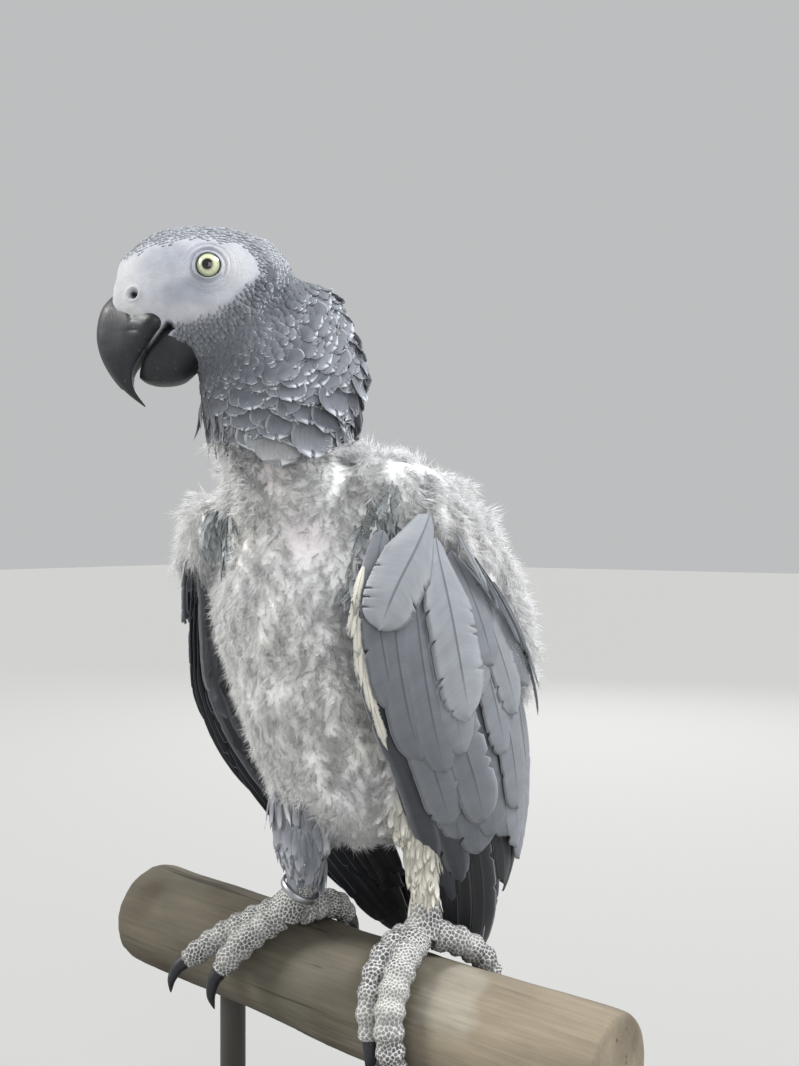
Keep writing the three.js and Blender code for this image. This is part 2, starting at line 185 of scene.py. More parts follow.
def loft(stations, facing, around=64, steps=60):  # stations: x, y, z, side, front, back
    us = np.linspace(0, 1, steps + 1)
    rows = along(stations, us)
    path = along(stations, np.minimum(us + 0.02, 1)) - along(stations, np.maximum(us - 0.02, 0))
    path = unit(path[:, :3])
    front = np.array([facing(u) for u in us], float)
    front = unit(front - path * np.sum(front * path, 1, keepdims=True))
    left = np.cross(path, front)
    angle = np.arange(around) * 2 * np.pi / around
    reach = np.where(np.sin(angle)[None] > 0, rows[:, 4:5], rows[:, 5:6]) * np.sin(angle)[None]
    side = np.cos(angle)[None] * rows[:, 3:4]
    points = rows[:, None, :3] + left[:, None] * side[..., None] + front[:, None] * reach[..., None]
    return points.reshape(-1, 3), ringFaces(steps + 1, around)

def turned(degrees):
    return np.array([-math.sin(math.radians(degrees)), -math.cos(math.radians(degrees)), 0])

def limb(stations, around=40, steps=40, facing=(1, 0, 0)):  # stations: x, y, z, radius and, where flat, thickness
    rows = [list(s[:4]) + [s[-1] if len(s) > 4 else s[3]] * 2 for s in stations]
    return loft(rows, lambda u: facing, around, steps)

def joined(shapes):
    points, faces, start = [], [], 0
    for p, f in shapes:
        points.append(p)
        faces += [tuple(v + start for v in face) for face in f]
        start += len(p)
    return np.vstack(points), faces

def remeshed(name, shapes, voxel):  # one closed skin over shapes that run into each other
    carrier = meshObject(name, *joined(shapes))
    remesh = carrier.modifiers.new("Remesh", "REMESH")
    remesh.mode = "VOXEL"
    remesh.voxel_size = voxel * mm
    return applied(carrier, name)

def eased(points, edges, rounds, share=0.5, weight=None):  # Laplacian smoothing that keeps the volume
    count = np.bincount(edges.ravel(), minlength=len(points))[:, None].astype(float)
    weight = 1.0 if weight is None else weight[:, None]
    for k in range(rounds * 2):
        total = np.empty_like(points)
        for axis in range(3):
            total[:, axis] = (np.bincount(edges[:, 0], points[edges[:, 1], axis], len(points))
                              + np.bincount(edges[:, 1], points[edges[:, 0], axis], len(points)))
        step = share if k % 2 == 0 else -share * 1.04
        points = points + weight * step * (total / count - points)
    return points

def hashNoise(points, size, seed=0):  # smooth value noise, -1 to 1, with cells of the given size
    p = np.asarray(points, float) / size + seed * 17.13
    cell = np.floor(p).astype(np.int64)
    f = p - cell
    f = f * f * (3 - 2 * f)
    total = 0
    for corner in np.ndindex(2, 2, 2):
        n = (cell + corner) @ [374761393, 668265263, 2147483647]  # large primes, to scatter the cells' values
        n = (n ^ (n >> 13)) * 1274126177
        value = ((n ^ (n >> 16)) & 0xffff) / 32767.5 - 1
        total = total + value * np.prod(np.where(corner, f, 1 - f), axis=1)
    return total

def lumps(points):  # the down stands in soft lumps
    return hashNoise(points * [1, 1, 0.8], 9, 51)

# where the render is seen from, in degrees and millimetres
view = {"azimuth": 38, "distance": 340, "target": np.array([11, 8.5, 238.0]), "lens": 35.46}

# the bird's form, the same named values as the solids
# stations are x, y, z, side, front and back, or x, y, z, radius and, where flat, thickness
body = {
    "trunk": [
        [-1, 24, 133, 3, 3, 3], [-2, 23, 137, 18, 17, 17], [-3, 21, 145, 28, 28, 27],
        [-4, 17, 158, 36, 37, 36], [-5, 12, 176, 41, 41, 41], [-6, 6, 198, 43, 43, 43],
        [-8, -2, 222, 42, 41, 40], [-9, -10, 243, 34, 33, 32], [-10, -17, 257, 26, 25, 24],
        [-10, -20, 264, 20, 19, 19]],
    "rump": [[-3, 16, 172, 20], [-3.5, 28, 161, 20], [-4, 38, 150, 16.5], [-4, 45, 139, 12.5, 11],
             [-4, 50, 128, 9, 6], [-4, 51.5, 123, 5, 3]],
    "neck": [
        [-10, -18, 250, 19, 19, 20], [-11, -22, 262, 19.5, 20.5, 23], [-11, -26, 274, 20.5, 22.5, 27.5],
        [-10, -30, 287, 20.5, 23.5, 30], [-10, -33, 299, 19, 22, 27], [-11, -36, 308, 16, 19, 22],
        [-12, -38, 314, 8, 10, 11]],
    "head": [  # forward, up, side, over, under
        [-29, -8, 3, 3, 3], [-27, -7.5, 9, 10, 10], [-20, -5.5, 15.5, 17.5, 17], [-10, -3.5, 18.5, 21.2, 21],
        [2, -3, 18.5, 22, 22], [13, -3.5, 15.5, 20.2, 18], [20, -4, 11.5, 15.5, 12],
        [24.5, -4.5, 7.5, 9.5, 7], [26.5, -4.5, 4, 5, 4]],
    "headAt": [-19.6, -47.1, 310.9],
    "headTurn": 44,  # degrees to the bird's right
    "armLeft": [[10, -16, 255, 7, 5], [18, -12, 253, 13, 11.5], [26, -1, 244, 16.5, 13],
                [31.5, 11.5, 230, 18.5, 13.5], [34, 22.5, 213, 19, 13.5], [34.5, 31, 196, 17, 12],
                [33, 35.5, 182, 11, 7.5], [32, 37, 174, 4, 2.5]],
    "armRight": [[-28, -28, 246, 6, 6], [-37, -26, 241, 12.5, 13], [-44, -19, 230, 15, 14], [-45.5, -5, 217, 17, 13],
                 [-44, 9, 203, 17.5, 11.5], [-42, 20, 187, 15, 10], [-40, 28, 174, 9, 6], [-39, 31, 167, 4, 2.5]],
    "thighLeft": [[15, -1, 178, 13], [18, 1, 164, 9.5], [20.5, 3, 148, 6.6], [22.5, 4.5, 134, 6],
                  [23.5, 5.5, 124, 5.4]],
    "thighRight": [[-15, -4, 180, 15], [-16, -8, 164, 12.5], [-15.5, -10, 150, 10.6], [-13.5, -10, 138, 9],
                   [-12.2, -9.4, 128.6, 6.8]],
}
headAt = np.array(body["headAt"])
ahead = turned(body["headTurn"])
upward = np.array([0.0, 0.0, 1.0])
leftward = np.cross(upward, ahead)

def inHead(forward, up, left=0.0):
    return headAt + ahead * forward + leftward * left + upward * up

def headPlace(points):  # forward, up and left of points in the head's own directions
    q = points - headAt
    return q @ ahead, q[:, 2], q @ leftward

neckRows = np.array(body["neck"], float)
trunkRows = np.array(body["trunk"], float)

def axisAt(z):  # the middle of the body at a height
    x, y, heights = np.vstack([trunkRows[:8, :3], neckRows[1:6, :3]]).T
    return np.stack([np.interp(z, heights, x), np.interp(z, heights, y), z], 1)

def toLine(forward, up, line):  # distance to a line of (forward, up) points
    best = np.full(len(forward), 1e9)
    for (a, b), (c, d) in zip(line, line[1:]):
        run = np.array([c - a, d - b])
        t = np.clip(((forward - a) * run[0] + (up - b) * run[1]) / (run @ run), 0, 1)
        best = np.minimum(best, np.hypot(forward - a - t * run[0], up - b - t * run[1]))
    return best

skinSettings = {
    "voxel": 1.25, "faceCuts": 3,
    # how far the skin lies under the tips of the coat
    "downDepth": 3.2, "neckDepth": 2.4, "shoulderDepth": 2.2, "legDepth": 1.4, "crownDepth": 0.7,
    "eyeAt": (-1.6, 2.95), "lidRadius": 3.5,
    "nostrilAt": (19.6, -4.4), "nostrilRadius": 1.35, "nostrilDepth": 2.4,
}
eyeCentre = {1: inHead(-2.1, 3.0, 14.9), -1: inHead(-2.1, 3.0, -14.9)}
eyeBall = 4.5

bareFace = {  # its lower and upper edges, as forward and up, and the edge below the cheek, as up and forward
    "low": ([-15.2, -14.2, -11.8, -8.2, -4.6, -0.1, 3.6, 7.2, 11, 20],
            [1.5, -0.4, -2.4, -6, -9.1, -11.3, -11.9, -12.1, -18, -26]),
    "top": ([-15, -14.2, -12.8, -9.1, -1.8, 4.8, 10, 15, 20.7, 25],
            [3.5, 6, 7.8, 9.8, 10.6, 10.3, 9.4, 8.4, 6.6, 6.4]),
    "rim": ([-30, -25.2, -20.4, -17, -14.3, -12.5], [1, 4.2, 7, 9.5, 11.5, 13]),
}

def faceDepth(points):  # how far inside the bare face a point lies, below 0 where feathers grow
    forward, up, left = headPlace(points)
    low, top = np.interp(forward, *bareFace["low"]), np.interp(forward, *bareFace["top"])
    inside = np.minimum(np.minimum(up - low, top - up), forward + 15.2 + 0.02 * (up - 3) ** 2)
    rim = np.interp(up, *bareFace["rim"])
    inside = np.where(up < -12.3, np.maximum(inside, forward - rim), inside)
    inside = np.where(points[:, 2] > 283, inside, -20)
    return inside + hashNoise(points, 2.6, 3) * 0.7

def faceMask(points):  # 1 on the bare skin of the face, 0 where feathers grow
    return ramp(faceDepth(points), -1.6, 1.2)

def mouthMask(points):  # 1 in the gap between the halves of the bill
    forward, up, left = headPlace(points)
    gap = toLine(forward, up, [(9.8, -13.6), (12.2, -16.4), (16.7, -21.4), (19, -24.6)])
    return (1 - ramp(gap, 0.9, 1.5)) * ramp(points[:, 2], 283, 286)

def neckShare(points):  # 0 on the trunk, 1 on the neck's grey ruff and above, and on the mantle behind it
    edge = 268.5 + hashNoise(points, 7, 5) * 3.5 - 0.12 * (points[:, 1] + 30)
    off = points - axisAt(points[:, 2])
    edge -= 30 * ramp(off[:, 1], 3, 13) * np.clip(1 - (np.abs(off[:, 0] + 2) / 18) ** 1.6, 0, 1)
    return ramp(points[:, 2] - edge, -1.5, 2)

def legShare(points, side):  # 1 on the trousers of one leg
    rows = np.array(body["thighLeft" if side > 0 else "thighRight"], float)[::-1]
    x, y, radius = (np.interp(points[:, 2], rows[:, 2], rows[:, k]) for k in (0, 1, 3))
    away = np.hypot(points[:, 0] - x, points[:, 1] - y) - radius
    return ramp(-away, -3.5, -1.2) * ramp(158 - points[:, 2], 0, 6)

def legsShare(points):
    return np.maximum(legShare(points, 1), legShare(points, -1))

shoulderPatches = [([[20, -6, 253.5], [22, -13, 250], [24.3, -20.5, 236], [25, -24, 224]], 6.5),
                   ([[23, 0, 249], [27.6, -7.6, 238], [28.5, -16, 229]], 6.5),
                   ([[-27, -37, 245], [-28, -36, 234]], 7.5)]

def shoulderShare(points):  # 1 on the patches of small grey feathers where the wings leave the breast
    away = np.full(len(points), 1e9)
    for line, reach in shoulderPatches:
        path = along(line, np.linspace(0, 1, 24))
        away = np.minimum(away, np.linalg.norm(points[:, None] - path[None], axis=2).min(1) - reach)
    return 1 - ramp(away + 1.5 * hashNoise(points, 5, 63), -2, 1)

def coatDepth(points):  # how far the skin lies under the tips of the coat
    s = skinSettings
    neck = neckShare(points)
    forward, up, left = headPlace(points)
    crown = ramp(forward + 0.35 * up, -26, -12) * ramp(points[:, 2], 287, 296)
    depth = blend(s["downDepth"], s["neckDepth"], neck)
    depth = blend(depth, s["crownDepth"], crown * neck)
    depth = blend(depth, s["shoulderDepth"], shoulderShare(points))
    depth = blend(depth, s["legDepth"], legsShare(points))
    return blend(depth, 0.0, ramp(faceDepth(points), -4, 0) * ramp(points[:, 2], 285, 290))

coatTints = palette({
    "down": "fcfcfb", "warm": "f8f4ec", "shade": "e6e7e9", "pink": "dccad2", "bare": "b9bbc2", "cere": "c4c5c8",
    "bareShade": "8f94a0", "grey": "8a8e96", "nape": "6f747e", "crown": "adb1b8", "ear": "696e78",
    "trousers": "979ba3", "cream": "ece8da", "dark": "221f20"})
bareBreast = (((8, -37, 238), (9, 12, 10), 0.42), ((-1, -41, 258), (11, 12, 8), 0.4))  # where the down is thin
faceSpots = ((5, -4.5, 9, 4.5, 0.6, "bareShade"), (10, 5.5, 9, 5.5, 0.45, "bareShade"),
             (-9, 3.5, 6.5, 8, 0.8, "cere"), (2, -10, 9, 2.5, 0.5, "cere"))  # forward, up, length, height, amount

def mix(base, tint, amount):
    return base + (coatTints[tint] - base) * np.clip(amount, 0, 1)[:, None]

def inSpot(across, along, reach):  # 0 in the middle of an oval, 1 on its edge
    return np.linalg.norm(np.stack([across / reach[0], along / reach[1]], 1), axis=1)

def markingsAndPaintedShade(points):  # the coat's colours, shared by the skin and everything that grows on it
    forward, up, left = headPlace(points)
    z = points[:, 2]
    tint = np.repeat(coatTints["down"][None], len(points), 0)
    tint = mix(tint, "warm", ramp(hashNoise(points, 16, 1), -0.2, 0.8) * 0.4)
    # painted shade: the grey shade tint comes in patches, partly the down's own tone, and more strongly low on the
    # body, which lies in shade
    tint = mix(tint, "shade", ramp(hashNoise(points, 9, 2), 0.0, 0.9) * 0.4 + 0.3 * ramp(165 - z, 0, 25))
    for centre, reach, much in bareBreast:
        bare = np.linalg.norm((points - centre) / reach, axis=1)
        tint = mix(tint, "pink", (1 - ramp(bare, 0.4, 1.25)) * much)
    tint = mix(tint, "trousers", legShare(points, -1))
    tint = mix(tint, "cream", legShare(points, 1))
    neck = neckShare(points)
    tint = mix(tint, "grey", neck)
    tint = mix(tint, "nape", neck * ramp(296 - z, 0, 16) * (0.5 + 0.5 * hashNoise(points, 8, 8)))
    ear = inSpot(forward + 19.5, up + 2.5, (6.5, 6.5))
    tint = mix(tint, "ear", (1 - ramp(ear, 0.4, 1.3)) * ramp(np.abs(left), 6, 10) * 0.85)
    tint = mix(tint, "crown", neck * ramp(up, 4, 9) * ramp(z, 296, 304))
    tint = mix(tint, "down", neck * (1 - ramp(z - 3 * hashNoise(points, 4, 9), 268, 280)) * 0.2)
    depth = faceDepth(points)
    tint = mix(tint, "bare", 0.6 * ramp(depth, -3.2, -0.4) * ramp(z, 285, 290))
    face = faceMask(points) * ramp(z, 285, 290)
    tint = mix(tint, "bare", face)
    tint = mix(tint, "cere", face * ramp(forward, 14, 21))
    eye = np.hypot(forward + 1.6, up - 3.1)
    tint = mix(tint, "bareShade", face * (1 - ramp(eye, 4.2, 6.6)) * 0.55)
    for f0, u0, wide, tall, much, name in faceSpots:
        spot = inSpot(forward - f0, up - u0, (wide, tall))
        tint = mix(tint, name, face * (1 - ramp(spot, 0.3, 1.3)) * much)
    # painted shade: the nostrils are painted dark for the shade inside their holes
    nostril = np.hypot(forward - skinSettings["nostrilAt"][0], up - skinSettings["nostrilAt"][1])
    tint = mix(tint, "dark", face * (1 - ramp(nostril, 0.75, 1.25)) * ramp(np.abs(left), 3, 6))
    # painted shade: the gap between the bill's halves is painted near black for the shade inside it
    return np.clip(opaque(mix(tint, "dark", mouthMask(points))), 0, 1)

def sculptHead(points):  # lids, brow, nostrils and the rim of the cere
    s = skinSettings
    forward, up, left = headPlace(points)
    side, above = np.sign(left), ramp(points[:, 2], 285, 290)
    near = ramp(np.abs(left), 4, 8) * above
    eye = np.hypot(forward - s["eyeAt"][0], up - s["eyeAt"][1])
    lid = s["lidRadius"]
    out = 0.75 * np.exp(-((eye - lid - 0.55) / 0.42) ** 2)
    out += 0.28 * np.exp(-((eye - lid - 2.1) / 0.5) ** 2) - 0.3 * np.exp(-((eye - lid - 1.35) / 0.4) ** 2)
    out += (0.16 * np.exp(-((eye - lid - 3.6) / 0.6) ** 2)
            - 0.4 * np.exp(-((eye - 7.5) / 2.2) ** 2) * ramp(-up, -3, 4))
    out += 0.9 * np.exp(-(((forward + 3) / 9) ** 2 + ((up - 10.8) / 2.6) ** 2))
    out -= 3.4 * (1 - ramp(eye, lid - 0.35, lid + 0.12))
    points = points + leftward * (out * near * side)[:, None]
    nostril = np.hypot(forward - s["nostrilAt"][0], up - s["nostrilAt"][1])
    r = s["nostrilRadius"]
    dent = s["nostrilDepth"] * (1 - ramp(nostril, r - 0.35, r + 0.25))
    dent -= 0.35 * np.exp(-((nostril - r - 0.6) / 0.45) ** 2)
    inward = unit(-leftward[None] * side[:, None] * 0.85 - ahead * 0.5)
    points = points + inward * (dent * ramp(np.abs(left), 2, 4) * above)[:, None]
    cere = ramp(forward, 15, 19) * np.exp(-((up + 7) / 6) ** 2)
    return points + (ahead * 0.5 + leftward * side[:, None] * 0.6) * (0.5 * cere * near)[:, None]

def buildSkin():
    facing = lambda u: turned(8 + (body["headTurn"] - 8) * u)
    headRows = [[*inHead(f, up), side, over, under] for f, up, side, over, under in body["head"]]
    shapes = [
        loft(body["trunk"], lambda u: turned(2), 96, 90), limb(body["rump"], 64, 40),
        loft(body["neck"], facing, 96, 60), loft(headRows, lambda u: (0, 0, 1), 96, 80),
        limb(body["armLeft"]), limb(body["armRight"]), limb(body["thighLeft"]), limb(body["thighRight"]),
    ]
    skin = remeshed("bird_skin", shapes, skinSettings["voxel"])
    points, edges = pointsOf(skin.data), edgesOf(skin.data)
    forward, up, left = headPlace(points)
    points = eased(points, edges, 9, weight=1 - 0.85 * ramp(forward, -14, -6) * ramp(points[:, 2], 286, 292))
    setPoints(skin.data, points)
    depth = coatDepth(points) - 1.5 * lumps(points) * (1 - neckShare(points))
    points = points - normalsOf(skin.data) * depth[:, None]
    points = eased(points, edges, 2)
    setPoints(skin.data, points)
    # the face has the finest mesh, for its lids and wrinkles
    made = bmesh.new()
    made.from_mesh(skin.data)
    made.verts.ensure_lookup_table()
    face = (faceMask(points) > 0.35) & (points[:, 2] > 288)
    edges = [e for e in made.edges if face[e.verts[0].index] and face[e.verts[1].index]]
    bmesh.ops.subdivide_edges(made, edges=edges, cuts=skinSettings["faceCuts"], use_grid_fill=True)
    made.to_mesh(skin.data)
    made.free()
    points, edges = pointsOf(skin.data), edgesOf(skin.data)
    fine = ramp(faceMask(points), 0.2, 0.5) * ramp(points[:, 2], 286, 290)
    points = eased(points, edges, 10, weight=fine)
    points = sculptHead(points)
    forward, up, left = headPlace(points)
    points = points - (leftward * np.sign(left)[:, None] * 3.5 + ahead * 1.5) * mouthMask(points)[:, None]
    points = eased(points, edges, 1, 0.35, weight=fine)
    setPoints(skin.data, points)
    return skin

skin = buildSkin()
print("skin", len(skin.data.vertices), "points")

def fromFace(points):  # away from the face: the direction, and the distance that the feathers' rows follow
    forward, up, left = headPlace(points)
    f0, u0 = np.interp(up, [-6, 8], [6, 24]), np.interp(up, [-6, 8], [4, -2])
    away = np.stack([forward - f0, up - u0], 1)
    return unit(away), np.hypot(np.linalg.norm(away, axis=1), 0.3 * left) - np.hypot(f0 - 6, u0 - 4)

lieSettings = {"sway": 0.35, "swayPatch": 14, "overLumps": 2.2, "back": 0.12, "aside": 0.2}

def lieAt(points):  # the way the feathers point, along the body
    s = lieSettings
    forward, up, left = headPlace(points)
    away = fromFace(points)[0]
    outward = s["aside"] * np.sign(left) * ramp(np.abs(left), 4, 14)
    backward = ahead * away[:, :1] + upward * away[:, 1:] + leftward * outward[:, None]
    down = np.repeat(np.array([[0.0, s["back"], -1.0]]), len(points), 0)
    down[:, :2] += s["sway"] * np.stack([hashNoise(points, s["swayPatch"], seed) for seed in (11, 12)], 1)
    slope = np.stack([lumps(points + step) - lumps(points - step) for step in np.eye(3)], 1)
    down -= slope * (1 - neckShare(points))[:, None] * s["overLumps"]
    way = blend(down, backward, (ramp(up, -34, -12) * ramp(points[:, 2], 276, 296))[:, None])
    return unit(blend(way, -upward, legsShare(points)[:, None]))

def wrapAround(points):  # a place on the skin's own unwrap: turn about the body's axis, and height
    turn = unit(points[:, :2] - axisAt(points[:, 2])[:, :2])
    return np.hstack([turn, ((points[:, 2] - 105) / 230)[:, None]])

def armShare(points):  # 1 on the folded wing arms
    best = np.zeros(len(points))
    for key in ("armLeft", "armRight"):
        centre = along(body[key], np.linspace(0, 1, 40))
        reach = np.minimum(centre[:, 3], centre[:, 4])
        away = np.linalg.norm(points[:, None] - centre[None, :, :3], axis=2) - reach
        best = np.maximum(best, ramp(-away.min(1), -3.5, 0.5))
    trunk = axisAt(points[:, 2])
    radius = np.interp(points[:, 2], trunkRows[:, 2], trunkRows[:, 3])
    out = np.hypot(points[:, 0] - trunk[:, 0], points[:, 1] - trunk[:, 1]) - radius
    return best * ramp(out, -3.5, -1)

skinPoints, skinNormals = pointsOf(skin.data), normalsOf(skin.data)
share = {"face": faceMask(skinPoints) * ramp(skinPoints[:, 2], 285, 290), "neck": neckShare(skinPoints),
         "legs": legsShare(skinPoints), "arms": armShare(skinPoints)}
tint = markingsAndPaintedShade(skinPoints)
for key, kind, values in (("marking", "FLOAT_COLOR", tint), ("bare", "FLOAT", share["face"]),
                          ("lie", "FLOAT_VECTOR", lieAt(skinPoints)),
                          ("wrap", "FLOAT_VECTOR", wrapAround(skinPoints)),
                          ("out", "FLOAT_VECTOR", skinNormals)):
    storeAttribute(skin.data, key, kind, values)

coatInputs = {"Skin": "Geometry", "Templates": "Collection", "Spacing": "Float", "Pitch": "Float",
              "Pitch Spread": "Float", "Yaw Spread": "Float", "Size Spread": "Float", "Patch": "Float",
              "Seed": "Int", "Finish": "Material"}

def coatTree(name, inRows):  # a template on every root, laid along the body, all as real mesh
    tree = bpy.data.node_groups.new(name, "GeometryNodeTree")
    add = partial(addNode, tree)
    for socket, kind in coatInputs.items():
        tree.interface.new_socket(socket, in_out="INPUT", socket_type="NodeSocket" + kind)
    tree.interface.new_socket("Coat", in_out="OUTPUT", socket_type="NodeSocketGeometry")
    given = add("NodeGroupInput").node.outputs
    stored = {}
    for key in ("cover", "size", "out", "lie", "wrap", "vane"):
        kind = "FLOAT" if key in ("cover", "size") else "FLOAT_VECTOR"
        stored[key] = add("GeometryNodeInputNamedAttribute", {0: key}, data_type=kind)
    if inRows:
        roots = add("GeometryNodeMeshToPoints", {"Mesh": given["Skin"]})
    else:
        roots = add("GeometryNodeDistributePointsOnFaces",
                    {"Mesh": given["Skin"], "Distance Min": given["Spacing"], "Density Max": 4e6,
                     "Density Factor": stored["cover"], "Seed": given["Seed"]}, distribute_method="POISSON")
    tone = add("FunctionNodeRandomValue", {2: 0.0, 3: 1.0, 8: 7}, 1, data_type="FLOAT")
    roots = add("GeometryNodeStoreNamedAttribute", {"Geometry": roots, "Name": "tone", "Value": tone},
                data_type="FLOAT", domain="POINT")
    outward = add("FunctionNodeAlignRotationToVector", {"Vector": stored["out"]}, axis="Z")
    laid = add("FunctionNodeAlignRotationToVector", {"Rotation": outward, "Vector": stored["lie"]},
               axis="Y", pivot_axis="Z")
    loose = []
    for seed, key in ((3, "Pitch Spread"), (4, "Yaw Spread"), (5, "Yaw Spread"), (6, "Size Spread")):
        swing = add("FunctionNodeRandomValue", {2: -1.0, 3: 1.0, 8: seed}, 1, data_type="FLOAT")
        loose.append(add("Math", (swing, given[key]), operation="MULTIPLY"))
    pitch = add("Math", (loose[0], given["Pitch"]), operation="ADD")
    turn = add("FunctionNodeEulerToRotation", (add("CombineXYZ", (pitch, loose[2], loose[1])),))
    way = add("FunctionNodeRotateRotation", {"Rotation": laid, "Rotate By": turn}, rotation_space="LOCAL")
    size = add("Math", (stored["size"], add("Math", (loose[3], 1.0), operation="ADD")), operation="MULTIPLY")
    chosen = add("GeometryNodeCollectionInfo",
                 {"Collection": given["Templates"], "Separate Children": True, "Reset Children": True})
    pick = add("FunctionNodeRandomValue", {4: 0, 5: 11, 8: given["Seed"]}, 2, data_type="INT")
    placed = add("GeometryNodeInstanceOnPoints",
                 {"Points": roots, "Instance": chosen, "Pick Instance": True, "Instance Index": pick,
                  "Rotation": way, "Scale": size})
    real = add("GeometryNodeRealizeInstances", (placed,))
    # each tuft's patch of the bake map: its root's place on the unwrap, and a little of the tuft's own map
    wrap, own = (add("SeparateXYZ", (stored[key],)).node.outputs for key in ("wrap", "vane"))
    angle = add("Math", (wrap[1], wrap[0]), operation="ARCTAN2")
    turns = add("Math", (add("Math", (angle, 2 * math.pi), operation="DIVIDE"), 0.5), operation="ADD")
    corner = []
    for root, inside in ((turns, own[0]), (wrap[2], own[1])):
        root = add("Math", (root, 0.99), operation="MULTIPLY")
        inside = add("Math", (inside, given["Patch"]), operation="MULTIPLY")
        corner.append(add("Math", (root, inside), operation="ADD"))
    mapped = add("GeometryNodeStoreNamedAttribute",
                 {"Geometry": real, "Name": "OFBake", "Value": add("CombineXYZ", corner)},
                 data_type="FLOAT2", domain="CORNER")
    finished = add("GeometryNodeSetMaterial", {"Geometry": mapped, "Material": given["Finish"]})
    tree.links.new(finished, tree.nodes.new("NodeGroupOutput").inputs[0])
    return tree

featherTrees = {"spread": coatTree("feathers_spread", False), "rows": coatTree("feathers_in_rows", True)}

def growCoat(name, settings, cover, size, templates, look, tint=None, source=None):  # source: roots in rows
    tree = featherTrees["spread" if source is None else "rows"]
    if source is None:
        source = skin.data.copy()
        storeAttribute(source, "cover", "FLOAT", cover)
    storeAttribute(source, "size", "FLOAT", size * mm)
    if tint is not None:
        storeAttribute(source, "marking", "FLOAT_COLOR", tint)
    carrier = bpy.data.objects.new(name, source)
    bpy.context.scene.collection.objects.link(carrier)
    grow = carrier.modifiers.new("Grow", "NODES")
    grow.node_group = tree
    sockets = {item.name: item.identifier for item in tree.interface.items_tree if item.in_out == "INPUT"}
    for key, value in {"Templates": templates, "Finish": look, "Patch": 0.003, "Spacing": 1, **settings}.items():
        grow[sockets[key]] = value * mm if key == "Spacing" else value
    piece = applied(carrier, name)
    for spare in ("lie", "wrap", "out", "cover", "size", "bare"):
        if spare in piece.data.attributes:
            piece.data.attributes.remove(piece.data.attributes[spare])
    print(name, sum(len(p.vertices) - 2 for p in piece.data.polygons), "triangles")
    return finishPiece(piece)

def rowRoots(name, cover, sizes, rows):  # roots in staggered rows, each row at one distance from the face
    rng = np.random.default_rng(rows["seed"])
    mesh = skin.data
    starts, totals = np.empty((2, len(mesh.polygons)), np.int32)
    mesh.polygons.foreach_get("loop_start", starts)
    mesh.polygons.foreach_get("loop_total", totals)
    quads = cornersOf(mesh)[starts[totals == 4][:, None] + np.arange(4)]
    quads = quads[cover[quads].min(1) > 0.35]
    u, v = rng.random((2, len(quads), rows["tries"]))
    weights = np.stack([(1 - u) * (1 - v), u * (1 - v), u * v, (1 - u) * v], 2)
    points = np.einsum("qtk,qkc->qtc", weights, skinPoints[quads]).reshape(-1, 3)
    outward = unit(np.einsum("qtk,qkc->qtc", weights, skinNormals[quads]).reshape(-1, 3))
    forward, up, left = headPlace(points)
    turn, far = np.arctan2(left, forward + 14), fromFace(points)[1]
    chosen, distance, count = [], rows["from"], 0
    while distance < rows["to"]:
        length = np.interp(distance, *sizes)
        band = np.flatnonzero(np.abs(far - distance) < 0.2 * rows["step"] * length)
        band = band[np.argsort(turn[band])]
        last, apart = None, rows["apart"] * length
        for i in band:
            if last is None:
                last, wait = points[i], apart * 0.5 * (count % 2)
            if np.linalg.norm(points[i] - last) >= wait:
                chosen.append(i)
                last, wait = points[i], apart
        distance += rows["step"] * length
        count += 1
    points, outward, far = points[chosen], outward[chosen], far[chosen]
    made = bpy.data.meshes.new(name)
    made.from_pydata((points * mm).tolist(), [], [])
    for key, kind, values in (("marking", "FLOAT_COLOR", markingsAndPaintedShade(points)),
                              ("lie", "FLOAT_VECTOR", lieAt(points)),
                              ("wrap", "FLOAT_VECTOR", wrapAround(points)), ("out", "FLOAT_VECTOR", outward)):
        storeAttribute(made, key, kind, values)
    return made, np.interp(far, *sizes)

def templateSet(name, shape, seeds, settings):  # variants of one small shape of unit length
    group = bpy.data.collections.new(name)
    bpy.context.scene.collection.children.link(group)
    for k, seed in enumerate(seeds):
        points, faces, vaneMap = shape(np.random.default_rng(seed), settings)
        mesh = bpy.data.meshes.new(f"{name}_{k}")
        mesh.from_pydata(np.asarray(points).tolist(), [], faces)
        storeAttribute(mesh, "vane", "FLOAT2", np.asarray(vaneMap)[cornersOf(mesh)], "CORNER")
        for polygon in mesh.polygons:
            polygon.use_smooth = True
        group.objects.link(bpy.data.objects.new(f"{name}_{k:02d}", mesh))
    return group

def dropTemplates(group):
    for spare in list(group.objects):
        bpy.data.objects.remove(spare, do_unlink=True)
    bpy.data.collections.remove(group)

